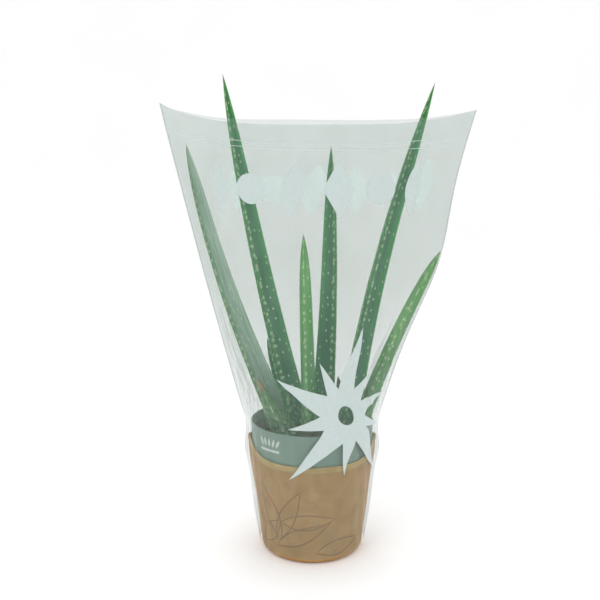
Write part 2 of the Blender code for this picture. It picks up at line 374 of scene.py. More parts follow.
@dataclass(frozen=True)
class Finish:
    """A finish: the name of the real material, and the way from its pattern to a shader."""

    name: str

    def make(self) -> Material:
        """Build the material.

        Returns:
            The material, whose shader is fed with what the finish lays out.
        """
        made = bpy.data.materials.new(self.name)
        made.use_nodes = True
        tree = made.node_tree
        place = add_node(tree, "TexCoord").outputs["Object"]
        feed(tree, tree.nodes["Principled BSDF"], self.lay_out(tree, place))
        return made

    def lay_out(self, tree: NodeTree, place: NodeSocket) -> Inputs:
        """Return the shader's inputs, from the tree and the piece's own coordinates."""
        raise NotImplementedError


@dataclass(frozen=True)
class CastFilm(Finish):
    """Polypropylene film cast on a polished roll: clear and glossy with a grey-green cast.

    One wall is two surfaces, and each hides a little of what is behind it; the light scattered in
    the film gives the leaves inside it their milky look.
    """

    haze: str = "678b7d"
    gleam: str = "84a598"
    cover: float = 0.15
    roughness: float = 0.12

    def lay_out(self, tree: NodeTree, place: NodeSocket) -> Inputs:
        """Lay out the roll's streaks and the film's slow ripples.

        Args:
            tree: The material's node tree.
            place: The piece's own coordinates.

        Returns:
            The shader's inputs.
        """
        drawn = add_node(tree, "Mapping", None, {"Vector": place, "Scale": (1.0, 1.0, 0.18)})
        # Streaks from the roll, about 9 mm apart and several centimetres long
        streak = add_node(tree, "TexNoise", None, {"Vector": drawn, "Scale": per_mm(9), "Detail": 2.0})
        ripple = add_node(tree, "TexNoise", None, {"Vector": place, "Scale": per_mm(16), "Detail": 1.0})
        height = add_node(tree, "Math", {"operation": "ADD"}, {0: streak, 1: ripple})
        relief = add_node(tree, "Bump", None, {"Height": height, "Strength": 0.35,
                                               "Distance": 0.5 * MM})
        # Painted sheen: the film's colour lightens to the gleam tone along the streaks, whose relief the bump
        # gives
        tone = add_node(tree, "ValToRGB", None, {0: streak}, ((0.4, self.haze), (0.8, self.gleam)))
        return {"Base Color": tone, "Normal": relief, "Roughness": self.roughness, "IOR": 1.49,
                "Specular IOR Level": 0.8, "Coat Weight": 1.0, "Coat Roughness": 0.06,
                "Alpha": self.cover}


@dataclass(frozen=True)
class PrintedInk(Finish):
    """White flexographic ink on film: a flat coat, slightly mottled, with a painted glow for the light that a
    thin coat lets through from behind.
    """

    body: str = "abb6b4"
    thin: str = "a6b2af"
    # Colour and strength of the painted glow
    scattered: str = "c6d3d1"
    glow: float = 0.2
    cover: float = 1.0

    def lay_out(self, tree: NodeTree, place: NodeSocket) -> Inputs:
        """Lay out the ink and its mottle.

        Args:
            tree: The material's node tree.
            place: The piece's own coordinates.

        Returns:
            The shader's inputs.
        """
        # Mottle of the ink film, drawn at 3 mm because the real 0.3 mm grain doesn't show
        mottle = add_node(tree, "TexNoise", None, {"Vector": place, "Scale": per_mm(3), "Detail": 3.0})
        tone = add_node(tree, "ValToRGB", None, {0: mottle}, ((0.35, self.thin), (0.6, self.body)))
        # Painted light: an emission glow stands in for the light that the thin coat lets through from behind,
        # which a solid coat wouldn't show
        return {"Base Color": tone, "Roughness": 0.42, "IOR": 1.48, "Emission Color": linear(self.scattered),
                "Emission Strength": self.glow, "Alpha": self.cover}


@dataclass(frozen=True)
class KraftPaper(Finish):
    """Unbleached kraft paper from long pine fibres: matt, tan, with darker flecks and soft cloudiness."""

    body: str = "ba8a50"
    light: str = "c3955c"
    deep: str = "ad7e46"
    fleck: str = "7c5732"
    # Colour of the painted shade in the scored grooves
    pressed: str = "5a1f30"

    def lay_out(self, tree: NodeTree, place: NodeSocket) -> Inputs:
        """Lay out the sheet's cloudiness, its fibres and its flecks.

        Args:
            tree: The material's node tree.
            place: The piece's own coordinates.

        Returns:
            The shader's inputs.
        """
        # Cloudiness of the formed sheet: 14 mm patches
        cloud = add_node(tree, "TexNoise", None, {"Vector": place, "Scale": per_mm(14), "Detail": 4.0})
        # Fibres lie round the cup: 0.5 mm wide and 5 mm long
        lay = add_node(tree, "Mapping", None, {"Vector": place, "Scale": (0.1, 0.1, 1.0)})
        fibre = add_node(tree, "TexNoise", None, {"Vector": lay, "Scale": per_mm(0.5), "Detail": 3.0})
        flecks = add_node(tree, "TexVoronoi", None, {"Vector": lay, "Scale": per_mm(1.6)})
        speck = add_node(tree, "ValToRGB", None, {0: flecks.outputs["Distance"]},
                         ((0.05, "ffffff"), (0.16, "000000")))
        base = add_node(tree, "ValToRGB", None, {0: cloud},
                        ((0.28, self.deep), (0.72, self.light), (0.5, self.body)))
        streaks = add_node(tree, "ValToRGB", None, {0: fibre}, ((0.3, "8a8a8a"), (0.7, "ffffff")))
        colour = blend_colours(tree, 0.22, base, streaks, "MULTIPLY")
        share = add_node(tree, "Math", {"operation": "MULTIPLY"}, {0: speck, 1: 0.35})
        colour = blend_colours(tree, share, colour, self.fleck)
        # Painted shade: each scored groove is darkened along its middle
        score = add_node(tree, "Attribute", {"attribute_name": "score"})
        colour = blend_colours(tree, score.outputs["Fac"], colour, self.pressed)
        relief = add_node(tree, "Bump", None, {"Height": fibre, "Strength": 0.25,
                                               "Distance": 0.15 * MM})
        return {"Base Color": colour, "Normal": relief, "Roughness": 0.82, "Specular IOR Level": 0.25}


@dataclass(frozen=True)
class MouldedPot(Finish):
    """Recycled polypropylene, injection moulded: satin grey-green with faint flow marks and scuffs."""

    body: str = "84988b"
    dark: str = "7a8d81"
    roughness: float = 0.46

    def lay_out(self, tree: NodeTree, place: NodeSocket) -> Inputs:
        """Lay out the flow marks and the mould's grain.

        Args:
            tree: The material's node tree.
            place: The piece's own coordinates.

        Returns:
            The shader's inputs.
        """
        flow = add_node(tree, "TexNoise", None, {"Vector": place, "Scale": per_mm(22), "Detail": 3.0})
        tone = add_node(tree, "ValToRGB", None, {0: flow}, ((0.35, self.dark), (0.65, self.body)))
        # Spark-eroded grain of the mould, 0.6 mm, drawn coarser than the real 0.1 mm
        grain = add_node(tree, "TexNoise", None, {"Vector": place, "Scale": per_mm(0.6), "Detail": 2.0})
        relief = add_node(tree, "Bump", None, {"Height": grain, "Strength": 0.15,
                                               "Distance": 0.05 * MM})
        worn = add_node(tree, "MapRange", None, {"Value": flow, 3: self.roughness - 0.08,
                                                 4: self.roughness + 0.1})
        return {"Base Color": tone, "Roughness": worn, "Normal": relief}


@dataclass(frozen=True)
class PeatMix(Finish):
    """Sieved peat with bark crumbs: dark brown, dull, in particles of about a millimetre."""

    dark: str = "2e2013"
    light: str = "6a4d30"

    def lay_out(self, tree: NodeTree, place: NodeSocket) -> Inputs:
        """Lay out the crumbs and the damp patches.

        Args:
            tree: The material's node tree.
            place: The piece's own coordinates.

        Returns:
            The shader's inputs.
        """
        crumbs = add_node(tree, "TexVoronoi", None, {"Vector": place, "Scale": per_mm(1.8)})
        damp = add_node(tree, "TexNoise", None, {"Vector": place, "Scale": per_mm(9), "Detail": 4.0})
        grey = add_node(tree, "SeparateColor", None, {0: crumbs.outputs["Color"]})
        mixed = add_node(tree, "Math", {"operation": "MULTIPLY"}, {0: grey, 1: damp})
        tone = add_node(tree, "ValToRGB", None, {0: mixed}, ((0.05, self.dark), (0.55, self.light)))
        relief = add_node(tree, "Bump", None, {"Height": crumbs.outputs["Distance"], "Strength": 0.8,
                                               "Distance": 0.6 * MM})
        return {"Base Color": tone, "Normal": relief, "Roughness": 0.95, "Specular IOR Level": 0.2}


@dataclass(frozen=True)
class AloeSkin(Finish):
    """Living aloe skin: a green with a thin wax bloom, and pale oval spots in rows along the leaf."""

    outer: str = "4f9c3b"
    inner: str = "3f9a45"
    deep: str = "236a2e"
    # Colour of the painted shade along the middle of the channel
    valley: str = "1c6334"
    # Colour of the painted highlights along the margins and the rib
    margin: str = "8fc083"
    spot: str = "d3e4b4"
    base: str = "93a678"
    withered: str = "a06b3a"
    horny: str = "8a6c3e"
    spot_share: float = 0.55
    painted_foot_shade: float = 0.55

    def lay_out(self, tree: NodeTree, place: NodeSocket) -> Inputs:
        """Lay out the skin's greens, its veins and its spots.

        Args:
            tree: The material's node tree.
            place: The piece's own coordinates.

        Returns:
            The shader's inputs.
        """
        skin = add_node(tree, "UVMap", {"uv_map": "millimetres"})
        along, hollow, wither, valley, margin, rib, row, foot = (
            add_node(tree, "Attribute", {"attribute_name": mark}).outputs["Fac"]
            for mark in ("along", "hollow", "wither", "valley", "margin", "rib", "row", "foot"))
        colour = blend_colours(tree, hollow, self.outer, self.inner)
        patches = add_node(tree, "TexNoise", None, {"Vector": place, "Scale": per_mm(24), "Detail": 3.0})
        cloud = add_node(tree, "MapRange", None, {"Value": patches, 1: 0.35, 2: 0.75, 4: 0.35})
        # Painted shade: the leaf is darkened towards its foot, where its neighbours shade it
        shaded = add_node(tree, "MapRange", None,
                          {"Value": along, 1: 0.15, 2: 0.65, 3: self.painted_foot_shade, 4: 0.0})
        dark = add_node(tree, "Math", {"operation": "ADD"}, {0: cloud, 1: shaded})
        colour = blend_colours(tree, dark, colour, self.deep)
        # Painted shade: the middle of the channel is darkened, as the channel's sides would shade it
        channel_shade_share = add_node(tree, "Math", {"operation": "MULTIPLY"}, {0: valley, 1: 0.8})
        colour = blend_colours(tree, channel_shade_share, colour, self.valley)
        # Painted highlight: both margins are lightened, as if they caught the light
        ridge = add_node(tree, "Math", {"operation": "MULTIPLY"}, {0: margin, 1: 0.4})
        colour = blend_colours(tree, ridge, colour, self.margin)
        # Painted highlight along the rib, where the row of spots runs
        painted_rib_highlight = add_node(tree, "Math", {"operation": "MULTIPLY"}, {0: rib, 1: 0.26})
        colour = blend_colours(tree, painted_rib_highlight, colour, self.margin)
        # Veins show as faint streaks 1.3 mm apart that run the leaf's length
        lay = add_node(tree, "Mapping", None, {"Vector": skin, "Scale": (1 / 1.3, 1 / 45, 1.0)})
        veins = add_node(tree, "TexNoise", {"noise_dimensions": "2D"},
                         {"Vector": lay, "Scale": 1.0, "Detail": 3.0})
        streak = add_node(tree, "ValToRGB", None, {0: veins}, ((0.35, "a6b3a4"), (0.7, "ffffff")))
        colour = blend_colours(tree, 0.55, colour, streak, "MULTIPLY")
        # Spots: one oval in a cell 5 mm wide and 11 mm long, and most of the cells stay empty
        cells = add_node(tree, "Mapping", None, {"Vector": skin, "Scale": (1 / 5, 1 / 11, 1.0)})
        oval = add_node(tree, "TexVoronoi", {"voronoi_dimensions": "2D"},
                        {"Vector": cells, "Scale": 1.0, "Randomness": 0.55})
        near = add_node(tree, "MapRange", None,
                        {"Value": oval.outputs["Distance"], 1: 0.06, 2: 0.15, 3: 0.9, 4: 0.0})
        pick = add_node(tree, "SeparateColor", None, {0: oval.outputs["Color"]})
        chosen = add_node(tree, "Math", {"operation": "LESS_THAN"}, {0: pick, 1: self.spot_share})
        spots = add_node(tree, "Math", {"operation": "MULTIPLY"}, {0: near, 1: chosen})
        # One row of longer spots runs up the leaf's rib, about 8.5 mm apart
        place_up = add_node(tree, "SeparateXYZ", None, {0: skin}).outputs[1]
        beat = add_node(tree, "Math", {"operation": "DIVIDE"}, {0: place_up, 1: 8.5})
        dash = add_node(tree, "TexVoronoi", {"voronoi_dimensions": "1D"},
                        {"W": beat, "Scale": 1.0, "Randomness": 0.75})
        long = add_node(tree, "MapRange", None,
                        {"Value": dash.outputs["Distance"], 1: 0.12, 2: 0.26, 3: 1.0, 4: 0.0})
        line = add_node(tree, "Math", {"operation": "MULTIPLY"}, {0: long, 1: row})
        # Young spots crowd together at the foot: cells of 2.2 by 7 mm
        small = add_node(tree, "Mapping", None, {"Vector": skin, "Scale": (1 / 2.2, 1 / 7, 1.0)})
        crowd = add_node(tree, "TexVoronoi", {"voronoi_dimensions": "2D"},
                         {"Vector": small, "Scale": 1.0, "Randomness": 0.9})
        dots = add_node(tree, "MapRange", None,
                        {"Value": crowd.outputs["Distance"], 1: 0.1, 2: 0.5, 3: 0.38, 4: 0.0})
        low = add_node(tree, "Math", {"operation": "MULTIPLY"}, {0: dots, 1: foot})
        both = add_node(tree, "Math", {"operation": "MAXIMUM"}, {0: spots, 1: low})
        every = add_node(tree, "Math", {"operation": "MAXIMUM"}, {0: both, 1: line})
        soft = add_node(tree, "Math", {"operation": "MULTIPLY"}, {0: every, 1: 0.88})
        colour = blend_colours(tree, soft, colour, self.spot)
        pale = add_node(tree, "MapRange", None, {"Value": along, 1: 0.0, 2: 0.05, 3: 0.65, 4: 0.0})
        colour = blend_colours(tree, pale, colour, self.base)
        colour = blend_colours(tree, wither, colour, self.withered)
        horn = add_node(tree, "MapRange", None, {"Value": along, 1: 0.972, 2: 0.995, 3: 0.0, 4: 0.75})
        colour = blend_colours(tree, horn, colour, self.horny)
        fine = add_node(tree, "TexNoise", None, {"Vector": place, "Scale": per_mm(1.5), "Detail": 3.0})
        height = add_node(tree, "Math", {"operation": "ADD"}, {0: fine, 1: veins})
        relief = add_node(tree, "Bump", None, {"Height": height, "Strength": 0.3,
                                               "Distance": 0.25 * MM})
        bloom = add_node(tree, "MapRange", None, {"Value": patches, 3: 0.36, 4: 0.56})
        return {"Base Color": colour, "Roughness": bloom, "Normal": relief, "Coat Weight": 0.12,
                "Coat Roughness": 0.35}


@dataclass(frozen=True)
class DryHusk(Finish):
    """A dead aloe leaf or sheath, dried to a papery fawn with dark veins."""

    body: str = "9c8b6b"
    vein: str = "5c4a36"

    def lay_out(self, tree: NodeTree, place: NodeSocket) -> Inputs:
        """Lay out the dark veins.

        Args:
            tree: The material's node tree.
            place: The piece's own coordinates.

        Returns:
            The shader's inputs.
        """
        drawn = add_node(tree, "Mapping", None, {"Vector": place, "Scale": (1.0, 1.0, 0.15)})
        veins = add_node(tree, "TexNoise", None, {"Vector": drawn, "Scale": per_mm(1.6), "Detail": 5.0})
        tone = add_node(tree, "ValToRGB", None, {0: veins}, ((0.35, self.vein), (0.62, self.body)))
        relief = add_node(tree, "Bump", None, {"Height": veins, "Strength": 0.7,
                                               "Distance": 0.4 * MM})
        return {"Base Color": tone, "Normal": relief, "Roughness": 0.85}


@dataclass(frozen=True)
class PlainFinish(Finish):
    """A studio or detail finish of two near tones, mixed by a noise of a given size."""

    low: str
    high: str
    patch_mm: float
    roughness: float

    def lay_out(self, tree: NodeTree, place: NodeSocket) -> Inputs:
        """Lay out the two tones.

        Args:
            tree: The material's node tree.
            place: The piece's own coordinates.

        Returns:
            The shader's inputs.
        """
        patches = add_node(tree, "TexNoise", None,
                           {"Vector": place, "Scale": per_mm(self.patch_mm), "Detail": 3.0})
        tone = add_node(tree, "ValToRGB", None, {0: patches}, ((0.35, self.low), (0.65, self.high)))
        return {"Base Color": tone, "Roughness": self.roughness}


# ---------------------------------------------------------------- pot and paper cover

@dataclass
class GrowPot:
    """The thin moulded grow pot with its deep rim band, drain holes and a small printed sprig."""

    wall: float = 1.2 * MM
    band_depth: float = 34.0 * MM
    band_draft: float = 1.1 * MM
    shoulder: float = 4.4 * MM
    foot_rise: float = 3.0 * MM
    foot_width: float = 5.0 * MM
    foot_inset: float = 17.4 * MM
    bead: float = 1.1 * MM
    lip_roll: float = 0.25 * MM
    drain_radius: float = 4.0 * MM
    drain_ring: float = 0.62
    drains: int = 6
    sprig_turn: float = -90 - 43
    sprig_drop: float = 15 * MM
    sprig_pitch: float = 4.2 * MM
    sprig_leaves: int = 5
    ink_lift: float = 0.12 * MM
    ink_wall: float = 0.08 * MM

    def __post_init__(self) -> None:
        """Read the pot's place and outer size from the frame."""
        low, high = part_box("grow_pot")
        self.floor = low.z
        self.height = high.z
        self.rim = (high.x - low.x) / 2
        self.band_low = self.height - self.band_depth

    def band_radius(self, z: Any) -> Any:
        """Return the rim band's outer radius at a height."""
        return self.rim - self.band_draft * (self.height - z) / self.band_depth

    def profile(self) -> list[tuple[float, float]]:
        """Return (radius, height) points from the middle of the floor, round the rim and back."""
        shelf = self.floor + self.foot_rise
        band = self.band_radius(self.band_low)
        body = band - self.shoulder
        foot = self.rim - self.foot_inset
        lip = [(self.rim - self.wall / 2 + (self.wall / 2 + self.lip_roll) * math.cos(turn),
                self.height - self.bead + self.bead * math.sin(turn))
               for turn in np.linspace(-0.35, math.pi, 9)]
        return [
            (0.0, shelf), (foot - self.foot_width, shelf), (foot - self.foot_width, self.floor + 0.4 * MM),
            (foot - self.foot_width + 0.4 * MM, self.floor), (foot - 0.6 * MM, self.floor),
            (foot, self.floor + 0.6 * MM), (body, self.band_low - 0.8 * MM), (body + 0.8 * MM, self.band_low),
            (band - 0.7 * MM, self.band_low), (band, self.band_low + 0.7 * MM),
            (self.rim - 0.06 * MM, self.height - 2.6 * MM), *lip,
            (self.rim - self.wall - 0.1 * MM, self.height - 3 * MM),
            (band - self.wall, self.band_low + self.wall), (body - self.wall, self.band_low + self.wall),
            (foot - self.wall, shelf + self.wall), (0.0, shelf + self.wall),
        ]

    def turned_shell(self) -> Object:
        """Extrude the profile point by point and spin it round."""
        profile = self.profile()
        deselect()
        bpy.ops.mesh.primitive_plane_add(size=2 * MM)
        pot = bpy.context.object
        bpy.ops.object.mode_set(mode="EDIT")
        bpy.ops.mesh.select_all(action="SELECT")
        bpy.ops.mesh.merge(type="CENTER")
        bpy.ops.transform.translate(value=(profile[0][0], 0, profile[0][1]))
        for start, end in zip(profile, profile[1:]):
            step = (end[0] - start[0], 0.0, end[1] - start[1])
            bpy.ops.mesh.extrude_region_move(TRANSFORM_OT_translate={"value": step})
        bpy.ops.mesh.select_all(action="SELECT")
        bpy.ops.mesh.spin(steps=128, angle=2 * math.pi, center=(0, 0, 0), axis=(0, 0, 1))
        bpy.ops.object.mode_set(mode="OBJECT")
        close_up(pot)
        return pot

    def drill(self, pot: Object) -> None:
        """Cut the ring of drain holes through the floor.

        Args:
            pot: The turned shell.
        """
        ring = (self.rim - self.foot_inset - self.foot_width) * self.drain_ring
        for index in range(self.drains):
            turn = 2 * math.pi * index / self.drains
            deselect()
            bpy.ops.mesh.primitive_cylinder_add(vertices=24, radius=self.drain_radius, depth=20 * MM,
                                                location=(ring * math.cos(turn), ring * math.sin(turn), 0))
            cutter = bpy.context.object
            hole = pot.modifiers.new("Drain", "BOOLEAN")
            hole.object = cutter
            activate(pot)
            bpy.ops.object.modifier_apply(modifier=hole.name)
            bpy.data.objects.remove(cutter)

    def build(self, plastic: Material, ink: Material) -> None:
        """Make the pot and its printed sprig.

        Args:
            plastic: The pot's finish.
            ink: The print's finish.
        """
        pot = self.turned_shell()
        pot.name = pot.data.name = "grow_pot_shell"
        self.drill(pot)
        smooth(pot, 32)
        finished(pot, plastic, ["grow_pot"])
        finished(self.sprig(), ink)

    def on_band(self, across: Array, z: Array) -> Array:
        """Return points just off the band.

        Args:
            across: Distance round the band from the sprig's middle.
            z: Height.

        Returns:
            Rows of points.
        """
        radius = self.band_radius(z) + self.ink_lift
        turn = math.radians(self.sprig_turn) + across / self.rim
        return np.stack([radius * np.cos(turn), radius * np.sin(turn), z], axis=1)

    def sprig(self) -> Object:
        """Print a row of plain leaf shapes with a bar under it."""
        middle = self.height - self.sprig_drop
        pieces = []
        for index in range(self.sprig_leaves):
            place = index - self.sprig_leaves // 2

            def leaf(u: Array, v: Array, place: int = place) -> Array:
                """Return one lens-shaped leaf, which leans out more the further out it stands.

                Args:
                    u: Shares of the way across or round, from 0 to 1.
                    v: Shares of the way up or along, from 0 to 1.
                    place: The leaf's place in the row, counted from the middle one.

                Returns:
                    Rows of points.
                """
                half = 1.5 * MM * np.sin(np.pi * v)
                x = place * self.sprig_pitch + mix(-half, half, u) + place * 0.28 * 7 * MM * v
                return self.on_band(x, middle + 8.5 * MM * v)

            pieces.append(shaped_grid("leaf", 4, 12, leaf))

        def bar(u: Array, v: Array) -> Array:
            """Return the bar under the leaves."""
            return self.on_band(mix(-12, 12, u) * MM, middle - mix(2.2, 4.6, v) * MM)

        pieces.append(shaped_grid("bar", 40, 3, bar))
        mark = joined("pot_printed_sprig", pieces)
        turn_faces(mark, away_from_axis)
        thicken(mark, self.ink_wall)
        return mark


@dataclass
class PaperCover:
    """The kraft paper cup: rounded foot, turned-over hem, pinched side seams and scored lines."""

    fillet: float = 7.7 * MM
    base: float = 51.1 * MM
    peak_rise: float = 13.0 * MM
    peak_power: int = 8
    flat_rows: float = 0.12
    fillet_rows: float = 0.1
    fin: float = 2.2 * MM
    hem: float = 5.0 * MM
    wall: float = 0.45 * MM
    nest: float = 1.3 * MM
    line_half: float = 0.65 * MM
    outline_half: float = 8.5 * MM

    def __post_init__(self) -> None:
        """Read the cover's height from the frame."""
        self.pot = GrowPot()
        self.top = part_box("kraft_cover")[1].z - self.peak_rise

    def edge(self, turn: Array) -> Array:
        """Return the height of the cup's top edge, which peaks at both seams."""
        return self.top + self.peak_rise * np.abs(np.cos(turn)) ** self.peak_power

    def radius(self, z: Array) -> Array:
        """Return the cup's outer radius at heights, below the fillet too.

        Args:
            z: The heights.

        Returns:
            The radii.
        """
        band = self.pot.band_radius(np.maximum(z, self.pot.band_low)) + self.nest
        cone = mix(self.base, band, np.clip((z - self.fillet) / (self.pot.band_low - self.fillet), 0, 1))
        low = np.clip((self.fillet - z) / self.fillet, 0, 1)
        return cone - self.fillet * (1 - np.sqrt(np.clip(1 - low ** 2, 0, 1)))

    def on_wall(self, turn: Array, z: Array, lift: Any = 0.0) -> Array:
        """Return points on the cup.

        Args:
            turn: Angle round the cup from +X.
            z: Height, which may run above the straight part of the top edge.
            lift: Distance off the paper.

        Returns:
            Rows of points.
        """
        off_seam = np.abs(np.mod(turn + math.pi / 2, math.pi) - math.pi / 2)
        radius = self.radius(z)
        pinch = np.clip(z / self.top, 0, 1) ** 2 * self.fin
        slope = np.arccos(radius / (radius + pinch))
        spread = radius / np.cos(np.maximum(0.0, slope - off_seam))
        # Faint dents where the paper buckled as it was pushed over the pot
        dents = 0.35 * MM * np.sin(3 * turn + 1.0) * np.sin(z / (23 * MM)) * ease(z, 0.01, 0.05)
        crumple = 0.22 * MM * np.sin(11 * turn + z / (15 * MM)) * np.sin(z / (31 * MM))
        spread = spread + lift + (dents + crumple) * (1 - ease(z, self.top - 0.02, self.top))
        return np.stack([spread * np.cos(turn), spread * np.sin(turn), z], axis=1)

    def shell(self) -> Object:
        """Model the cup from the middle of its base to its top edge."""

        def surface(u: Array, v: Array) -> Array:
            """Return the cup's outside.

            Args:
                u: Shares of the way across or round, from 0 to 1.
                v: Shares of the way up or along, from 0 to 1.

            Returns:
                Rows of points.
            """
            turn = 2 * math.pi * u
            bend = np.clip((v - self.flat_rows) / self.fillet_rows, 0, 1)
            low = self.flat_rows + self.fillet_rows
            z = np.where(v < low, self.fillet * (1 - np.cos(bend * math.pi / 2)),
                         mix(self.fillet, self.edge(turn), np.clip((v - low) / (1 - low), 0, 1)))
            points = self.on_wall(turn, z)
            flat = (self.base - self.fillet) * v / self.flat_rows
            base = np.stack([flat * np.cos(turn), flat * np.sin(turn), np.zeros_like(v)], axis=1)
            return np.where((v < self.flat_rows)[:, None], base, points)

        cup = shaped_grid("kraft_cup", 192, 96, surface)
        close_up(cup)
        turn_faces(cup, lambda p: Vector((p.x, p.y, p.z - 0.05)))
        thicken(cup, self.wall)
        smooth(cup, 50)
        return cup

    def hem_strip(self) -> Object:
        """Model the turned-over strip along the top edge."""

        def surface(u: Array, v: Array) -> Array:
            """Return the hem, a flat loop round the paper's edge.

            Args:
                u: Shares of the way across or round, from 0 to 1.
                v: Shares of the way up or along, from 0 to 1.

            Returns:
                Rows of points.
            """
            turn = 2 * math.pi * u
            path = np.array([(0.05, -1.0), (0.65, -0.98), (0.8, -0.5), (0.6, 0.04), (0.0, 0.14),
                             (-0.75, 0.06), (-0.8, -0.5), (-0.72, -0.98), (-0.55, -1.0), (0.05, -1.0)])
            steps = np.linspace(0, 1, len(path))
            off = np.interp(v, steps, path[:, 0]) * MM
            drop = np.interp(v, steps, path[:, 1]) * self.hem
            return self.on_wall(turn, self.edge(turn) + drop, off)

        strip = shaped_grid("kraft_hem", 192, 27, surface)
        close_up(strip)
        smooth(strip, 60)
        return strip

    def score(self, curve: Callable[[Array], tuple[Array, Array]], steps: int) -> Object:
        """Model one scored line: a shallow groove between two pressed-up edges.

        Args:
            curve: Gives angle and height along the line for shares from 0 to 1.
            steps: Cells along the line.

        Returns:
            The line as an open strip.
        """

        def surface(u: Array, v: Array) -> Array:
            """Return the groove's section swept along the line.

            Args:
                u: Shares of the way across or round, from 0 to 1.
                v: Shares of the way up or along, from 0 to 1.

            Returns:
                Rows of points.
            """
            turn, z = curve(v)
            after_turn, after_z = curve(v + 0.01)
            flow = np.stack([(after_turn - turn) * self.base, after_z - z], axis=1)
            flow /= np.linalg.norm(flow, axis=1)[:, None]
            side = (u - 0.5) * 2 * self.line_half
            lift = np.interp(u, (0, 0.2, 0.5, 0.8, 1), (-0.05, 0.34, 0.12, 0.34, -0.05)) * MM
            fade = np.minimum(1, np.minimum(v, 1 - v) * 12)
            shift = flow * (side * fade)[:, None]
            return self.on_wall(turn - shift[:, 1] / self.base, z + shift[:, 0], lift)

        return shaped_grid("score", 6, steps, surface, marks={"score": lambda u, v: bump(u, 0.5, 0.22)})

    def scores(self) -> Object:
        """Press a fan of plain leaf outlines into the cup's front and back."""
        lines = []
        for face in (-90, 90):
            for lean, length, place, low in ((-20, 60, -34, 22), (24, 62, -40, 20), (62, 58, -40, 16),
                                             (84, 52, -34, 42), (80, 46, 4, 13), (40, 40, -62, 14)):
                for bend in (-1, 1):

                    def curve(t: Array, lean: float = lean, length: float = length, place: float = place,
                              low: float = low, bend: int = bend, face: float = face) -> tuple[Array, Array]:
                        """Return one side of a leaf outline.

                        Args:
                            t: Shares of the way along the outline.
                            lean: The leaf's lean in degrees.
                            length: The leaf's length in millimetres.
                            place: Degrees round the cup from the middle of the face.
                            low: The height of the leaf's foot in millimetres.
                            bend: Which side of the outline, -1 or 1.
                            face: The angle of the face in degrees.

                        Returns:
                            Angles round the cup and heights.
                        """
                        out = length * MM * t
                        side = bend * self.outline_half * np.sin(np.pi * t) * (1.1 - 0.4 * t)
                        angle = math.radians(lean)
                        x = out * math.sin(angle) + side * math.cos(angle)
                        z = out * math.cos(angle) - side * math.sin(angle)
                        return math.radians(face + place) + x / self.base, low * MM + z

                    lines.append(self.score(curve, 44))
        made = joined("kraft_scored_lines", lines)
        turn_faces(made, away_from_axis)
        smooth(made, 80)
        return made

    def build(self, paper: Material, hem: Material) -> None:
        """Make the cup, its hem and its scored lines.

        Args:
            paper: The cup's finish.
            hem: The lighter finish of the doubled edge.
        """
        finished(self.shell(), paper, ["kraft_cover"])
        finished(self.hem_strip(), hem)
        finished(self.scores(), paper)


# ---------------------------------------------------------------- soil

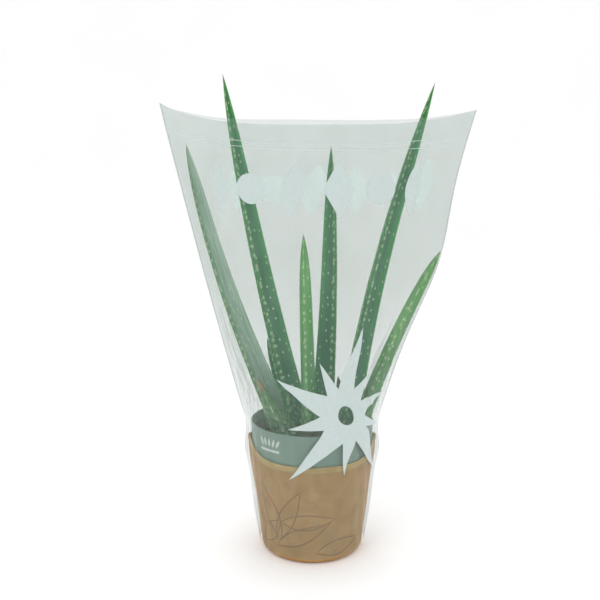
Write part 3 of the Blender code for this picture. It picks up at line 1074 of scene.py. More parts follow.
@dataclass
class PottingSoil:
    """The soil in the pot, with loose crumbs and bark on it and the buried stem in its middle."""

    gap: float = 0.4 * MM
    dome: float = 2.0 * MM
    crumbs: int = 900
    barks: int = 90
    top_rows: float = 0.7
    seed: int = 11

    def __post_init__(self) -> None:
        """Read the soil's place from the frame."""
        self.pot = GrowPot()
        low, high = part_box("potting_soil")
        self.floor = low.z
        self.level = high.z - 1.0 * MM
        self.radius = (high.x - low.x) / 2
        self.stem_low, self.stem_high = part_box("buried_stem")

    def height(self, x: float, y: float) -> float:
        """Return the height of the uneven surface at a place.

        Args:
            x: Place across.
            y: Place along.

        Returns:
            The height.
        """
        away = math.hypot(x, y) / self.radius
        heap = self.dome * (1 - away ** 2)
        crown = 2.2 * MM * math.exp(-((x / (34 * MM)) ** 2 + (y / (24 * MM)) ** 2))
        rough = noise.fractal(Vector((x, y, 0)) / (7 * MM), 0.8, 2.1, 4) * 1.5 * MM
        return self.level + heap + crown + rough

    def build(self, peat: Material, bark: Material, husk: Material) -> None:
        """Make the bed, the crumbs and the stem.

        Args:
            peat: The soil's finish.
            bark: The finish of the lighter bark crumbs.
            husk: The finish of the stem's old sheaths.
        """
        finished(self.bed(), peat, ["potting_soil"])
        crumbs = self.scatter("soil_crumbs", self.crumbs, 0.5 * MM, 1.5 * MM, self.seed)
        finished(crumbs, peat)
        crumbs = self.scatter("bark_crumbs", self.barks, 0.7 * MM, 1.7 * MM, self.seed + 1)
        finished(crumbs, bark)
        finished(self.stem(), husk, ["buried_stem"])

    def bed(self) -> Object:
        """Model the soil as one closed body that fills the pot."""
        ledge = self.pot.band_low + self.pot.wall + self.gap
        waist = self.pot.band_radius(self.pot.band_low) - self.pot.shoulder - self.pot.wall - self.gap
        foot = self.pot.rim - self.pot.foot_inset - self.pot.wall - self.gap
        path = np.array([(0.0, self.level), (self.radius, self.level), (self.radius - 1 * MM, ledge),
                         (waist, ledge), (foot, self.floor), (0.0, self.floor)])
        marks = np.array([0.0, self.top_rows, 0.8, 0.85, 0.95, 1.0])

        def surface(u: Array, v: Array) -> Array:
            """Return the top in rings, then the side and the floor.

            Args:
                u: Shares of the way across or round, from 0 to 1.
                v: Shares of the way up or along, from 0 to 1.

            Returns:
                Rows of points.
            """
            turn = 2 * math.pi * u
            radius, z = (np.interp(v, marks, path[:, column]) for column in (0, 1))
            points = np.stack([radius * np.cos(turn), radius * np.sin(turn), z], axis=1)
            for row in np.flatnonzero(v <= self.top_rows + 1e-6):
                points[row, 2] = self.height(points[row, 0], points[row, 1])
            return points

        made = shaped_grid("soil_bed", 120, 60, surface)
        close_up(made)
        smooth(made, 60)
        return made

    def scatter(self, name: str, count: int, least: float, most: float, seed: int) -> Object:
        """Lay small crumbs on the soil.

        Args:
            name: The piece's name.
            count: How many crumbs.
            least: The smallest crumb's radius.
            most: The largest crumb's radius.
            seed: Seed of the random draws.

        Returns:
            All the crumbs as one object.
        """
        draw = np.random.default_rng(seed)
        deselect()
        bpy.ops.mesh.primitive_ico_sphere_add(subdivisions=1, radius=1)
        crumb = bpy.context.object
        move_points(crumb, points_of(crumb) * draw.uniform(0.65, 1.2, (len(crumb.data.vertices), 1)))
        places = []
        for _ in range(count):
            away = (self.radius - 2.5 * MM) * math.sqrt(draw.uniform(0.0, 1.0))
            turn = draw.uniform(0, 2 * math.pi)
            x, y = away * math.cos(turn), away * math.sin(turn)
            size = least + (most - least) * draw.uniform() ** 3
            spin = np.linalg.qr(draw.normal(size=(3, 3)))[0]
            matrix = np.eye(4)
            matrix[:3, :3] = spin @ np.diag(size * draw.uniform(0.6, 1.3, 3))
            if np.linalg.det(matrix[:3, :3]) < 0:
                matrix[:3, 0] *= -1
            matrix[:3, 3] = (x, y, self.height(x, y) + 0.2 * size)
            places.append(matrix)
        return copies(name, crumb, places)

    def stem(self) -> Object:
        """Model the short broad stem as a lumpy disc that the soil half covers."""
        half_x = (self.stem_high.x - self.stem_low.x) / 2
        half_y = (self.stem_high.y - self.stem_low.y) / 2
        low, high = self.stem_low.z, self.stem_high.z

        def surface(u: Array, v: Array) -> Array:
            """Return the stem's skin from its underside to its top.

            Args:
                u: Shares of the way across or round, from 0 to 1.
                v: Shares of the way up or along, from 0 to 1.

            Returns:
                Rows of points.
            """
            turn, tilt = 2 * math.pi * u, math.pi * (v - 0.5)
            reach = np.sign(np.cos(tilt)) * np.abs(np.cos(tilt)) ** 0.4
            ridge = 1 - 0.05 * (1 + np.sin(13 * turn)) * np.abs(np.cos(tilt))
            z = mix(low, high, 0.5 + 0.5 * np.sign(tilt) * np.abs(np.sin(tilt)) ** 0.6)
            return np.stack([half_x * reach * ridge * np.cos(turn),
                             half_y * reach * ridge * np.sin(turn), z], axis=1)

        made = shaped_grid("stem_crown", 96, 32, surface)
        close_up(made)
        smooth(made, 70)
        return made


# ---------------------------------------------------------------- leaves

@dataclass
class AloeLeaf:
    """One fleshy lance-shaped leaf with its channel, its toothed margins and its horny point."""

    node: str
    bow: float
    width: float
    body: float
    facing: float
    channel: float
    twist: float = 0.0
    wither: float = 2.0
    tooth: float = 1.3 * MM
    sway: float = 0.0
    taper: float = 0.55
    clasp: float = 0.22
    blunt: float = 9.0
    row: float = 0.0
    glare_from: float = -2.0

    rings: int = 96
    around: int = 40
    bury: float = 5.0 * MM
    pitch: float = 8.0 * MM
    toothed: tuple[float, float] = (0.06, 0.95)

    def __post_init__(self) -> None:
        """Read the foot and the tip of the leaf from its CAD node."""
        corners = np.array([vertex.co for vertex in bpy.data.objects[self.node].data.vertices])
        low = corners[:, 2].min()
        at_foot = corners[corners[:, 2] < low + 0.05 * MM]
        self.foot = (at_foot.min(axis=0) + at_foot.max(axis=0)) / 2 - np.array([0, 0, self.bury])
        self.tip = corners[corners[:, 2].argmax()]
        middle = (self.foot + self.tip) / 2 + np.array([self.bow, 0.0, 0.0])
        self.control = 2 * middle - (self.foot + self.tip) / 2
        self.length = float(np.linalg.norm(self.tip - self.foot))

    def line(self, t: Array) -> Array:
        """Return points on the leaf's middle line.

        Args:
            t: Shares of the way from foot to tip.

        Returns:
            Rows of points.
        """
        t = t[:, None]
        swing = self.sway * np.sin(2 * np.pi * t) * t
        return (self.foot * (1 - t) ** 2 + self.control * 2 * t * (1 - t) + self.tip * t ** 2
                + swing * np.array([1.0, 0.0, 0.0]))

    def axes(self, t: Array) -> tuple[Array, Array]:
        """Return the directions across the leaf and out of its hollow side.

        Args:
            t: Shares of the way from foot to tip.

        Returns:
            Both directions, in rows.
        """
        along = self.line(t + 0.01) - self.line(t - 0.01)
        along /= np.linalg.norm(along, axis=1)[:, None]
        turn = np.radians(self.facing + self.twist * t)
        facing = np.stack([np.sin(turn), -np.cos(turn), np.zeros_like(turn)], axis=1)
        normal = facing - along * np.sum(facing * along, axis=1)[:, None]
        normal /= np.linalg.norm(normal, axis=1)[:, None]
        return np.cross(along, normal), normal

    def widths(self, t: Array) -> tuple[Array, Array]:
        """Return the width and the thickness along the leaf.

        Args:
            t: Shares of the way from foot to tip.

        Returns:
            The widths and the thicknesses.
        """
        closing = 1 - np.clip(t, 0, 1) ** self.blunt
        clasp = 1 + self.clasp * np.exp(-t * self.length / (14 * MM))
        return self.width * (1 - self.taper * t) * closing * clasp, self.body * (1 - 0.6 * t) * closing

    def surface(self, u: Array, v: Array) -> Array:
        """Return the leaf's skin.

        Args:
            u: Shares of the way round it, from a margin.
            v: Shares of the way from foot to tip.

        Returns:
            Rows of points.
        """
        turn = 2 * np.pi * u
        width, body = self.widths(v)
        across, normal = self.axes(v)
        side = np.cos(turn) * width / 2
        hollow = self.channel * width * np.cos(turn) ** 2
        depth = np.where(np.sin(turn) > 0, 0.16 * np.sin(turn), np.sin(turn)) * body
        lumps = 0.16 * MM * np.sin(v * self.length / (9 * MM) + 2.6 * turn) * np.sin(np.pi * v)
        out = hollow + depth + np.where(np.sin(turn) < -0.2, -lumps, 0.0)
        return self.line(v) + across * side[:, None] + normal * out[:, None]

    def blade(self) -> Object:
        """Loft the leaf and mark its channel, its margins and what changes along it."""
        girth = 2.2 * self.width / MM

        def over(u: Array) -> Array:
            """Return the place across the leaf, from -1 at one margin to 1 at the other."""
            return np.cos(2 * np.pi * u)

        def out(u: Array) -> Array:
            """Return the place through the leaf, from -1 on its back to 1 in its channel."""
            return np.sin(2 * np.pi * u)

        marks = {
            "along": lambda u, v: v,
            # The hollow side's colour starts part way across, so that one leaf's painted pale reflection
            # covers only part of it
            "hollow": lambda u, v: (ease(out(u), -0.05, 0.3)
                                    * ease(over(u), self.glare_from, self.glare_from + 0.3)),
            "row": lambda u, v: bump(over(u), self.row, 0.1),
            # Painted highlight along the rib
            "rib": lambda u, v: bump(over(u), self.row, 0.2) * (1 - self.wither_share(v)),
            # Painted shade along the middle of the channel
            "valley": lambda u, v: bump(out(u), 1.0, 0.22),
            # Painted highlight along both margins
            "margin": lambda u, v: bump(out(u), 0.1, 0.22),
            "wither": lambda u, v: self.wither_share(v) * 0.9,
            "foot": lambda u, v: 1 - ease(v * self.length, 18 * MM, 62 * MM),
        }
        skin = shaped_grid(self.node + "_blade", self.around, self.rings, self.shut,
                           (girth, self.length / MM), marks)
        close_up(skin)
        smooth(skin, 60)
        return skin

    def wither_share(self, v: Array) -> Array:
        """Return how far the leaf has withered, from 0 where it is green to 1."""
        return ease(v, self.wither, self.wither + 0.22)

    def shut(self, u: Array, v: Array) -> Array:
        """Return the skin with both ends drawn together to a point.

        Args:
            u: Shares of the way round the leaf.
            v: Shares of the way from foot to tip.

        Returns:
            Rows of points.
        """
        points = self.surface(u, v)
        for end in (0.0, 1.0):
            points[np.abs(v - end) < 1e-6] = self.line(np.array([end]))[0]
        return points

    def teeth(self, seed: int) -> Object:
        """Set small hooked teeth along both margins.

        Args:
            seed: Seed of the random spacing.

        Returns:
            The teeth as one object.
        """
        draw = np.random.default_rng(seed)
        deselect()
        bpy.ops.mesh.primitive_cone_add(vertices=6, radius1=0.42, radius2=0.0, depth=1.0,
                                        location=(0, 0, 0.4))
        bpy.ops.object.transform_apply(location=True)
        seed_tooth = bpy.context.object
        places = []
        for margin in (0.0, 0.5):
            t = self.toothed[0]
            while t < self.toothed[1]:
                at, turn = np.array([t]), np.array([margin])
                across, _ = self.axes(at)
                along = self.line(at + 0.01)[0] - self.line(at - 0.01)[0]
                along /= np.linalg.norm(along)
                outwards = across[0] * (1 if margin == 0.0 else -1)
                point = outwards * 0.85 + along * 0.5
                point /= np.linalg.norm(point)
                side = np.cross(point, along)
                side /= np.linalg.norm(side)
                size = self.tooth * (1 - 0.5 * t) * draw.uniform(0.75, 1.15)
                matrix = np.eye(4)
                matrix[:3, :3] = np.stack([np.cross(side, point) * 1.3, side * 0.8, point], axis=1) * size
                matrix[:3, 3] = self.surface(turn, at)[0] - outwards * 0.25 * MM
                places.append(matrix)
                t += self.pitch * draw.uniform(0.8, 1.25) / self.length
        made = copies(self.node + "_teeth", seed_tooth, places)
        smooth(made, 50)
        return made

    def build(self, skin: Material, horn: Material, slot: str, seed: int) -> None:
        """Make the blade and its teeth.

        Args:
            skin: The blade's finish.
            horn: The teeth's finish.
            slot: Not used.
            seed: Seed of the teeth's spacing.
        """
        finished(self.blade(), skin, [self.node])
        finished(self.teeth(seed), horn)


@dataclass
class AloePlant:
    """The plant: ten leaves, of which one has dried and one withers at its tip."""

    first_seed: int = 40
    leaves: tuple[AloeLeaf, ...] = (
        AloeLeaf("leaf_outer_left", -9 * MM, 26 * MM, 5.5 * MM, 36, 0.22, taper=0.6, blunt=14, row=-0.75,
                 glare_from=-0.45),
        AloeLeaf("leaf_tall_left", -4 * MM, 23.5 * MM, 6.5 * MM, 20, 0.22, row=-0.5, tooth=1.7 * MM),
        AloeLeaf("leaf_front_short", 0.0, 15 * MM, 5 * MM, 170, 0.16, taper=0.25, row=0.1),
        AloeLeaf("leaf_centre", 3 * MM, 24.5 * MM, 6 * MM, -27, 0.26, row=0.45, tooth=1.7 * MM),
        AloeLeaf("leaf_tall_right", -9 * MM, 25 * MM, 5.5 * MM, 32, 0.26, row=-0.2, tooth=1.7 * MM),
        AloeLeaf("leaf_outer_right", -5 * MM, 17 * MM, 4 * MM, 160, 0.15, taper=0.42, row=0.0, clasp=0.0,
                 blunt=13),
        AloeLeaf("leaf_old_front", -1 * MM, 22 * MM, 5.5 * MM, 180, 0.12, wither=0.7, taper=0.85),
        AloeLeaf("leaf_small_left", -2 * MM, 15 * MM, 4.5 * MM, 150, 0.15),
        AloeLeaf("leaf_dried", -1 * MM, 12 * MM, 3 * MM, -10, 0.24, twist=35),
        AloeLeaf("leaf_behind_left", -3 * MM, 13 * MM, 4.5 * MM, 10, 0.15),
    )

    def build(self, skin: Material, young: Material, painted_glare_skin: Material,
              old: Material, husk: Material, horn: Material) -> None:
        """Make every leaf.

        Args:
            skin: The finish of the grown leaves.
            young: The brighter finish of the leaves seen from outside.
            painted_glare_skin: The finish of the leaf whose hollow side is painted pale, a painted reflection
                of the film's folds in front of it.
            old: The finish of the lowest leaf, which fades to olive.
            husk: The finish of the dried leaf.
            horn: The finish of the teeth.
        """
        special = {"leaf_front_short": young, "leaf_outer_right": young, "leaf_outer_left": painted_glare_skin,
                   "leaf_old_front": old, "leaf_dried": husk}
        for index, leaf in enumerate(self.leaves):
            finish = special.get(leaf.node, skin)
            slot = "dry_leaf" if finish is husk else "aloe_leaf"
            leaf.build(finish, horn, slot, self.first_seed + index)


# ---------------------------------------------------------------- sleeve

@dataclass(frozen=True)
class Crease:
    """A fold in the film: where it starts and ends, across from 0 to 1 and up in metres."""

    start: tuple[float, float]
    end: tuple[float, float]
    width: float
    depth: float


def around(x: float, z: float, radius: Array, share: Array) -> Array:
    """Return flat points round a middle, at a radius and a share of the turn."""
    return np.stack([x + radius * np.cos(2 * np.pi * share), z + radius * np.sin(2 * np.pi * share)], axis=1)


@dataclass(frozen=True)
class SleevePrints:
    """The flat shapes that lie on the film, in metres from a panel's middle line and its height.

    Each is the cells across, the cells up and the outline for u and v from 0 to 1.
    """

    row_z: float = 358 * MM
    row_half: float = 26 * MM
    row_pitch: float = 36 * MM
    row_middle: float = -2 * MM
    diamond_half: float = 12.5 * MM
    leaf_half: float = 10 * MM
    leaf_lean: float = 9 * MM
    disc_radius: float = 14 * MM
    sun_x: float = 34 * MM
    sun_z: float = 150 * MM
    sun_ring: tuple[float, float] = (9.0 * MM, 24.0 * MM)
    sun_turn: float = 12.0
    ray_start: float = 18.0 * MM
    ray_share: float = 0.14
    rays: tuple[int, ...] = (60, 58, 82, 58, 82, 58, 82, 58, 74, 50)
    tuck_lines: tuple[tuple[float, ...], ...] = (
        (-84, -110, 150, 240, 3.0), (-76, -96, 142, 226, 1.6), (-70, -100, 140, 250, 2.2),
        (-60, -74, 138, 205, 3.4), (-52, -60, 140, 196, 1.4), (84, 110, 150, 250, 3.2),
        (78, 92, 142, 232, 1.6), (76, 88, 150, 214, 3.0), (88, 112, 160, 250, 2.0))
    tear_share: float = 0.44
    tear_half: float = 0.25 * MM

    def row(self, shift: float) -> list[FlatShape]:
        """Return the row of plain diamonds, discs and leaf shapes near the sleeve's top.

        Args:
            shift: How far the row is moved to the right.

        Returns:
            The flat shapes.
        """

        def diamond(u: Array, v: Array, x: float) -> Array:
            """Return a diamond."""
            reach = self.diamond_half * (1 - np.abs(2 * v - 1))
            return np.stack([x + mix(-reach, reach, u), self.row_z + self.row_half * (2 * v - 1)], axis=1)

        def leaf(u: Array, v: Array, x: float) -> Array:
            """Return a leaning leaf shape."""
            reach = self.leaf_half * np.sin(np.pi * v)
            return np.stack([x + mix(-reach, reach, u) + self.leaf_lean * (v - 0.5),
                             self.row_z + self.row_half * (2 * v - 1)], axis=1)

        def disc(u: Array, v: Array, x: float) -> Array:
            """Return a round disc."""
            return around(x, self.row_z, self.disc_radius * v, u)

        kinds = ((10, 24, diamond), (48, 6, disc), (10, 24, leaf)) * 2
        middle = (len(kinds) - 1) / 2
        return [(columns, rows, partial(kind, x=(index - middle) * self.row_pitch + self.row_middle + shift))
                for index, (columns, rows, kind) in enumerate(kinds)]

    def sun(self) -> list[FlatShape]:
        """Return a plain sun: a ring with ten straight rays, in turn long and short."""

        def ring(u: Array, v: Array) -> Array:
            """Return the sun's ring."""
            return around(self.sun_x, self.sun_z, mix(*self.sun_ring, v), u)

        def ray(u: Array, v: Array, angle: float, length: float) -> Array:
            """Return one ray, a straight triangle that points away from the ring.

            Args:
                u: Shares of the way across or round, from 0 to 1.
                v: Shares of the way up or along, from 0 to 1.
                angle: The ray's direction.
                length: How far the ray's tip is from the sun's middle.

            Returns:
                Rows of points.
            """
            out = mix(self.ray_start, length, v)
            side = mix(-1, 1, u) * self.ray_share * length * (1 - v)
            return np.stack([self.sun_x + out * math.cos(angle) - side * math.sin(angle),
                             self.sun_z + out * math.sin(angle) + side * math.cos(angle)], axis=1)

        step = 360 / len(self.rays)
        return [(96, 8, ring)] + [
            (10, 30, partial(ray, angle=math.radians(index * step + self.sun_turn), length=length * MM))
            for index, length in enumerate(self.rays)]

    def tucks(self) -> list[FlatShape]:
        """Return the flattened tucks where the film is gathered to the pot, as slim doubled strips."""

        def tuck(u: Array, v: Array, line: tuple[float, ...]) -> Array:
            """Return one strip that tapers to nothing at its top.

            Args:
                u: Shares of the way across or round, from 0 to 1.
                v: Shares of the way up or along, from 0 to 1.
                line: Foot, head, low and high place and width, in millimetres.

            Returns:
                Rows of points.
            """
            foot, head, low, high, width = line
            side = (u - 0.5) * width * np.sin(np.pi * np.clip(v * 0.85 + 0.15, 0, 1)) ** 0.6
            return np.stack([mix(foot, head, v ** 0.9) + side, mix(low, high, v)], axis=1) * MM

        return [(3, 40, partial(tuck, line=line)) for line in self.tuck_lines]

    def tear_lines(self, width: float) -> list[FlatShape]:
        """Return the two lines of perforation across the top of a panel.

        Args:
            width: The panel's flat width at its top.

        Returns:
            The lines as flat shapes.
        """
        reach = width * self.tear_share

        def line(u: Array, v: Array, low: float, tilt: float) -> Array:
            """Return one long thin strip."""
            return np.stack([mix(-reach, reach, u), low + tilt * u + 2 * self.tear_half * v], axis=1)

        return [(220, 1, partial(line, low=low, tilt=tilt))
                for low, tilt in ((402.0 * MM, -2 * MM), (397.5 * MM, -5 * MM))]


@dataclass
class Sleeve:
    """The clear sleeve: two film panels welded at both sides, with generic white prints."""

    waist_gap: float = 1.6 * MM
    fin: float = 2.6 * MM
    bulge: float = 1.9 * MM
    left_rise: float = 16.0 * MM
    right_rise: float = 11.5 * MM
    top_depth: float = 28.0 * MM
    fullness: float = 0.86
    leaf_push: float = 10.5 * MM
    ear: float = 2.0 * MM
    wall: float = 0.2 * MM
    ink_wall: float = 0.08 * MM
    weld_half: float = 0.8 * MM
    flank: float = 0.14
    print_lift: float = 0.3 * MM
    back_shift: float = 18 * MM
    prints: SleevePrints = SleevePrints()

    front_creases: tuple[Crease, ...] = (
        Crease((0.06, 0.140), (0.20, 0.235), 2.6 * MM, 2.4 * MM),
        Crease((0.10, 0.134), (0.30, 0.205), 2.2 * MM, 1.8 * MM),
        Crease((0.03, 0.150), (0.11, 0.260), 2.4 * MM, 2.0 * MM),
        Crease((0.90, 0.136), (0.74, 0.215), 2.2 * MM, 2.0 * MM),
        Crease((0.95, 0.142), (0.84, 0.255), 2.4 * MM, 2.6 * MM),
        Crease((0.98, 0.150), (0.91, 0.245), 2.0 * MM, 2.2 * MM),
        Crease((0.42, 0.150), (0.38, 0.240), 4.0 * MM, 0.8 * MM),
        Crease((0.62, 0.150), (0.66, 0.260), 4.0 * MM, 0.9 * MM),
    )

    def __post_init__(self) -> None:
        """Read the sleeve's reach and height from the frame."""
        front_low, front_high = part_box("film_front_panel")
        self.cover = PaperCover()
        self.pot = self.cover.pot
        self.hem = front_low.z
        self.left_reach = -front_low.x
        self.right_reach = front_high.x
        self.height = front_high.z - self.left_rise
        self.waist = float(self.cover.radius(np.array([self.pot.height]))[0]) + self.waist_gap
        heights = np.linspace(self.hem, self.height, 60)
        share = np.linspace(0, 1, 201)
        lengths = []
        for z in heights:
            row = self.flat_row(share, np.full_like(share, z), Side.FRONT)
            lengths.append(np.linalg.norm(np.diff(row, axis=0), axis=1).sum())
        self.heights, self.lengths = heights, np.array(lengths)

    def section(self, z: Array) -> tuple[Array, Array, Array, Array]:
        """Return the sleeve's section at heights.

        Args:
            z: The heights.

        Returns:
            The left and the right reach, and the half width and the depth of the round part.
        """
        pot = self.pot.height
        hug = self.cover.radius(z) + self.waist_gap
        swell = self.bulge * np.exp(-((z - self.cover.top) / (self.pot.band_depth * 0.45)) ** 2)
        low_reach = hug + self.fin * (0.2 + 0.8 * ease(z, 0.0, 40 * MM)) + swell
        share = np.clip((z - pot) / (self.height - pot), 0, 1.2)
        push = self.leaf_push * bump(share, 0.52, 0.21)
        seam = self.waist + self.fin
        left = mix(seam, self.left_reach, share ** 0.93)
        right = mix(seam, self.right_reach, share) + push * ease(share, 0.0, 0.15)
        round_half = mix(self.waist, self.fullness * (left + right) / 2, ease(share, 0.0, 0.3))
        below = z <= pot
        depth = mix(self.waist, self.top_depth, share)
        return (np.where(below, low_reach, left), np.where(below, low_reach, right),
                np.where(below, hug, round_half), np.where(below, hug, depth))

    def flat_row(self, u: Array, z: Array, side: Side) -> Array:
        """Return the smooth section without folds.

        Args:
            u: Places across, from the left seam at 0 to the right seam at 1.
            z: Heights.
            side: Which panel.

        Returns:
            Rows of points.
        """
        left, right, round_half, depth = self.section(z)
        half, middle = (left + right) / 2, (right - left) / 2
        slope = np.arccos(np.clip(round_half / half, -1, 1))
        touch_x, touch_y = round_half * np.cos(slope), depth * np.sin(slope)
        ends = np.minimum(u, 1 - u) / self.flank
        on_flank = ends < 1
        turn = mix(slope, math.pi - slope, np.clip((u - self.flank) / (1 - 2 * self.flank), 0, 1))
        sign = np.where(u < 0.5, -1.0, 1.0)
        x = np.where(on_flank, sign * mix(half, touch_x, ends), -round_half * np.cos(turn))
        y = np.where(on_flank, mix(0.35 * MM, touch_y, ends), depth * np.sin(turn))
        return np.stack([middle + x, side.value * y, z], axis=1)

    def creases(self, side: Side) -> list[Crease]:
        """Return a panel's sharp folds: the back has the front's, a little higher and shallower."""
        if side is Side.FRONT:
            return list(self.front_creases)
        return [Crease((fold.start[0], fold.start[1] + 6 * MM), (fold.end[0], fold.end[1] + 9 * MM),
                       fold.width, fold.depth * 0.8) for fold in self.front_creases]

    def folds(self, u: Array, z: Array, side: Side) -> Array:
        """Return how far the film leaves its smooth section.

        Args:
            u: Places across.
            z: Heights.
            side: Which panel.

        Returns:
            The distances, outwards positive.
        """
        edge = np.minimum(u, 1 - u)
        rise = z - self.pot.height
        turn = 2 * np.pi * u
        phase = side.value * 0.9
        # Pleats where the film is gathered just above the pot
        near = ease(rise, 2 * MM, 26 * MM) * np.exp(-np.clip(rise - 26 * MM, 0, 1) / (62 * MM))
        pleats = 1.1 * np.sin(7 * turn + 9 * rise + phase) + 0.6 * np.sin(12 * turn - 14 * rise)
        # Slow waves in the flared part, wider towards the top
        share = np.clip(rise / (self.height - self.pot.height), 0, 1.1)
        waves = 2.2 * np.sin(1.6 * turn + 5 * share + phase) + 1.1 * np.sin(3.3 * turn - 7 * share)
        # Flutes where the film hangs round the cup
        lower = (1 - ease(rise, -6 * MM, 6 * MM)) * ease(-rise, 0.0, 0.01)
        flutes = 0.5 + 0.5 * np.sin(15 * turn + z / (19 * MM))
        total = (near * pleats * 0.8 + share * waves + lower * flutes * 0.7) * MM * ease(edge, 0.0, 0.09)
        for crease in self.creases(side):
            total = total + self.fold_line(u, z, crease) * ease(edge, 0.0, 0.03)
        return total

    def fold_line(self, u: Array, z: Array, crease: Crease) -> Array:
        """Return the height of one fold: a sharp ridge that fades at both ends.

        Args:
            u: Places across.
            z: Heights.
            crease: The fold.

        Returns:
            The heights off the film.
        """
        width = np.interp(z, self.heights, self.lengths)
        start_x = (crease.start[0] - 0.5) * width
        end_x = (crease.end[0] - 0.5) * width
        t = (z - crease.start[1]) / (crease.end[1] - crease.start[1])
        off = (u - 0.5) * width - mix(start_x, end_x, t)
        fade = ease(t, 0.0, 0.25) * (1 - ease(t, 0.55, 1.0))
        return crease.depth * fade * np.exp(-np.abs(off) / crease.width)

    def point(self, u: Array, z: Array, side: Side, lift: float = 0.0) -> Array:
        """Return points on the folded film.

        Args:
            u: Place across, from the left seam at 0 to the right seam at 1.
            z: Height before the corners are raised.
            side: Which panel.
            lift: Distance off the film, outwards.

        Returns:
            Rows of points.
        """
        step = 0.004
        base = self.flat_row(u, z, side)
        after, before = (self.flat_row(np.clip(u + move, 0, 1), z, side) for move in (step, -step))
        chord = after - before
        chord /= np.maximum(np.linalg.norm(chord, axis=1), 1e-9)[:, None]
        out = np.stack([-chord[:, 1], chord[:, 0], np.zeros_like(z)], axis=1) * side.value
        points = base + out * (self.folds(u, z, side) + lift)[:, None]
        reach = np.clip((z - self.pot.height) / (self.height - self.pot.height), 0, 1)
        across = np.clip(2 * u - 1, -1, 1)
        rise = np.where(across < 0, self.left_rise, self.right_rise)
        points[:, 2] += rise * np.abs(across) ** 3 * reach
        points[:, 2] += self.ear * np.exp(-((u / 0.025) ** 2)) * ease(reach, 0.93, 1.0)
        return points

    def outwards(self, side: Side, place: Vector) -> Vector:
        """Return the direction out of the sleeve at a place on a panel."""
        return Vector((0.2 * place.x, side.value * 0.05 + place.y, 0))

    def panel(self, name: str, side: Side) -> Object:
        """Model one film panel.

        Args:
            name: The piece's name.
            side: Which panel.

        Returns:
            The panel, with its wall.
        """

        def surface(u: Array, v: Array) -> Array:
            """Return the panel, with rows closer together near the pot's rim."""
            return self.point(u, mix(self.hem, self.height, v ** 1.15), side)

        made = shaped_grid(name, 170, 190, surface)
        turn_faces(made, partial(self.outwards, side))
        thicken(made, self.wall)
        smooth(made, 80)
        return made

    def weld(self, name: str, end: float) -> Object:
        """Model the weld that joins the panels along one side.

        Args:
            name: The piece's name.
            end: 0 for the left seam and 1 for the right one.

        Returns:
            The weld as a closed flat strip.
        """

        def surface(u: Array, v: Array) -> Array:
            """Return a thin rounded section swept up the seam.

            Args:
                u: Shares of the way across or round, from 0 to 1.
                v: Shares of the way up or along, from 0 to 1.

            Returns:
                Rows of points.
            """
            z = mix(self.hem, self.height, v)
            turn = 2 * math.pi * u
            width = np.interp(z, self.heights, self.lengths)
            inset = self.weld_half * (1 - np.cos(turn)) / width
            front = self.point(np.abs(end - inset), z, Side.FRONT, 0.25 * MM)
            back = self.point(np.abs(end - inset), z, Side.BACK, 0.25 * MM)
            points = np.where((np.sin(turn) < 0)[:, None], front, back)
            points[:, 0] += (1 if end else -1) * 0.25 * MM * (np.cos(turn) > 0.9)
            return points

        made = shaped_grid(name, 16, 120, surface)
        close_up(made)
        smooth(made, 50)
        return made

    def printed(self, name: str, side: Side, shapes: Sequence[FlatShape], lift: float) -> Object:
        """Lay flat printed shapes on a panel.

        Args:
            name: The piece's name.
            side: Which panel.
            shapes: The flat shapes.
            lift: How far the shapes lie off the film's middle.

        Returns:
            All the shapes as one object.
        """
        pieces = []
        for columns, rows, flat in shapes:

            def surface(u: Array, v: Array, flat: Surface = flat) -> Array:
                """Return the flat shape bent round the sleeve.

                Args:
                    u: Shares of the way across or round, from 0 to 1.
                    v: Shares of the way up or along, from 0 to 1.
                    flat: The flat shape.

                Returns:
                    Rows of points.
                """
                place = flat(u, v)
                width = np.interp(place[:, 1], self.heights, self.lengths)
                return self.point(0.5 + place[:, 0] / width, place[:, 1], side, lift)

            pieces.append(shaped_grid(name, columns, rows, surface))
        made = joined(name, pieces)
        close_up(made, 0.002 * MM)
        turn_faces(made, partial(self.outwards, side))
        thicken(made, self.ink_wall)
        return made

    def build(self, film: Material, weld: Material,
              inks: dict[Side, Material]) -> None:
        """Make the panels, the welds, the folds and the prints.

        Args:
            film: The panels' finish.
            weld: The finish of the doubled film at the seams.
            inks: The finish of each panel's prints.
        """
        flat_width = float(self.lengths.max())
        for side, node in ((Side.FRONT, "film_front_panel"), (Side.BACK, "film_back_panel")):
            word = side.name.lower()
            panel = finished(self.panel("sleeve_" + word, side), film, [node])
            shift = self.back_shift if side is Side.BACK else 0.0
            layers = [("print_row_" + word, self.prints.row(shift), inks[side], self.print_lift),
                      ("tear_lines_" + word, self.prints.tear_lines(flat_width), inks[side], self.print_lift),
                      ("film_tucks_" + word, self.prints.tucks(), weld, self.print_lift)]
            if side is Side.FRONT:
                # The sun lies over the tucks
                layers.append(("print_sun", self.prints.sun(), inks[side], 2 * self.print_lift))
            extra = [finished(self.printed(name, side, shapes, lift), finish)
                     for name, shapes, finish, lift in layers]
        finished(self.weld("sleeve_weld_left", 0.0), weld)
        finished(self.weld("sleeve_weld_right", 1.0), weld)


# ---------------------------------------------------------------- studio

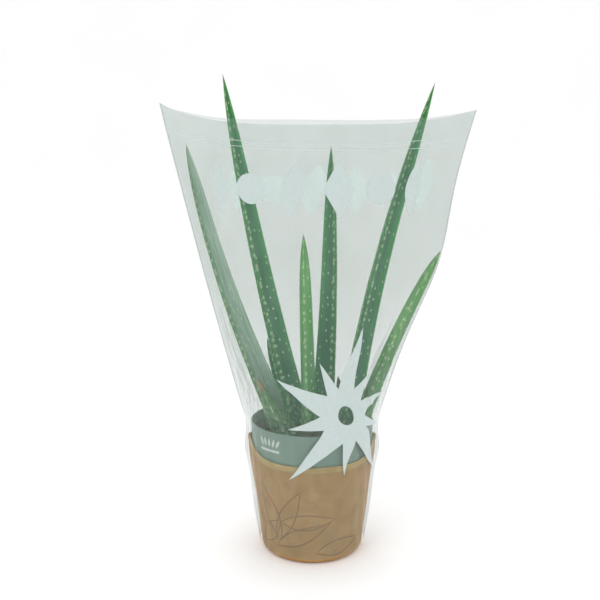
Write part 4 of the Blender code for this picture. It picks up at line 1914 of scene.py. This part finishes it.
@dataclass
class Studio:
    """Plain pale sweep, soft white light and the camera."""

    eye: tuple[float, float, float] = (-12.1 * MM, -738 * MM, 360 * MM)
    pitch: float = 8.42
    lens: float = 45.62
    room_light: float = 1.03
    flat_radius: float = 3.0
    sweep_radius: float = 2.5
    aim: tuple[float, float, float] = (0, 0, 0.2)

    def build(self, paper: Material) -> None:
        """Make the camera, the lights and the sweep.

        Args:
            paper: The sweep's finish.
        """
        data = bpy.data.cameras.new("camera")
        data.lens, data.sensor_width, data.clip_start = self.lens, 36.0, 0.01
        camera = bpy.data.objects.new("camera", data)
        camera.location = self.eye
        camera.rotation_euler = (math.radians(90 - self.pitch), 0.0, 0.0)
        bpy.context.scene.collection.objects.link(camera)
        bpy.context.scene.camera = camera
        bpy.context.scene.view_settings.view_transform = "Standard"
        self.world()
        self.softbox("key_softbox", (-0.9, -1.1, 1.5), 0.9, 5.0)
        self.softbox("fill_softbox", (1.2, -0.8, 0.9), 0.8, 1.5)
        self.softbox("top_softbox", (0.1, 0.5, 1.7), 1.0, 3.0)
        self.floor(paper)

    def world(self) -> None:
        """Fill the room with even white light."""
        world = bpy.data.worlds.new("studio_room")
        world.use_nodes = True
        shade = world.node_tree.nodes["Background"]
        shade.inputs["Color"].default_value = (1, 1, 1, 1)
        shade.inputs["Strength"].default_value = self.room_light
        bpy.context.scene.world = world

    def softbox(self, name: str, place: tuple[float, float, float], size: float, power: float) -> None:
        """Hang a square area light that looks at the plant.

        Args:
            name: The light's name.
            place: Its place.
            size: Its side.
            power: Its power in watts.
        """
        data = bpy.data.lights.new(name, "AREA")
        data.size, data.energy = size, power
        lamp = bpy.data.objects.new(name, data)
        lamp.location = place
        aim = Vector(self.aim) - Vector(place)
        lamp.rotation_euler = aim.to_track_quat("-Z", "Y").to_euler()
        bpy.context.scene.collection.objects.link(lamp)

    def floor(self, paper: Material) -> None:
        """Lay a round floor whose rim sweeps up into a low wall of the same paper.

        Args:
            paper: The sweep's finish.
        """

        def surface(u: Array, v: Array) -> Array:
            """Return the sweep: flat in the middle, then a wide curve up.

            Args:
                u: Shares of the way across or round, from 0 to 1.
                v: Shares of the way up or along, from 0 to 1.

            Returns:
                Rows of points.
            """
            bend = np.clip((v - 0.5) / 0.5, 0, 1) * math.pi / 2
            away = mix(0.0, self.flat_radius, np.minimum(v * 2, 1)) + self.sweep_radius * np.sin(bend)
            turn = 2 * math.pi * u
            rise = self.sweep_radius * (1 - np.cos(bend))
            return np.stack([away * np.cos(turn), away * np.sin(turn), rise], axis=1)

        floor = shaped_grid("studio_floor", 96, 48, surface)
        close_up(floor)
        turn_faces(floor, lambda p: Vector((0, 0, 1)))
        smooth(floor, 60)
        floor.data.materials.append(paper)


def main() -> None:
    """Build the studio and the object, piece by piece."""
    logging.basicConfig(level=logging.INFO, format="%(name)s: %(message)s")
    film = CastFilm("cast_polypropylene_film").make()
    weld = CastFilm("welded_polypropylene_film", "6f8a7d", "86a194", 0.1, 0.3).make()
    inks = {Side.FRONT: PrintedInk("flexo_printed_white_ink").make(),
            # The back panel's ink gets a strong painted glow
            Side.BACK: PrintedInk("thin_flexo_printed_white_ink", glow=1.4, cover=0.3).make()}
    pot_ink = PrintedInk("pad_printed_white_ink", "dfe5e1", "ccd4cf", glow=0.0).make()
    paper = KraftPaper("unbleached_kraft_paper").make()
    doubled = KraftPaper("doubled_kraft_paper", body="c6a468", light="cdac72", deep="b8955b").make()
    plastic = MouldedPot("moulded_recycled_polypropylene").make()
    peat = PeatMix("sieved_peat").make()
    bark = PlainFinish("composted_bark", "5a432c", "8a6d4b", 3, 0.9).make()
    skin = AloeSkin("waxy_aloe_skin").make()
    young = AloeSkin("young_aloe_skin", outer="62a943", inner="509d47", deep="397f34",
                     margin="a0cc86").make()
    # The far left leaf's hollow side is painted pale: a painted reflection of the film's folds in front of it
    painted_glare_skin = AloeSkin("wax_bloomed_aloe_skin", inner="c4d8c8", outer="4f9643", deep="7fae88",
                       valley="a3baa8", margin="8fb08a", painted_foot_shade=0.1).make()
    old = AloeSkin("old_aloe_skin", outer="4c7a3a", inner="4c7a3a", deep="3a6230", margin="8fa377",
                   spot="cbd5ae", base="8d9670", spot_share=0.8).make()
    husk = DryHusk("dried_aloe_leaf").make()
    horn = PlainFinish("horny_aloe_teeth", "b9c08e", "d8dab4", 4, 0.5).make()
    sweep = PlainFinish("seamless_studio_paper", "fbfbfb", "fdfdfd", 600, 0.9).make()
    Studio().build(sweep)
    GrowPot().build(plastic, pot_ink)
    PaperCover().build(paper, doubled)
    PottingSoil().build(peat, bark, husk)
    AloePlant().build(skin, young, painted_glare_skin, old, husk, horn)
    Sleeve().build(film, weld, inks)


if __name__ == "__main__":
    main()
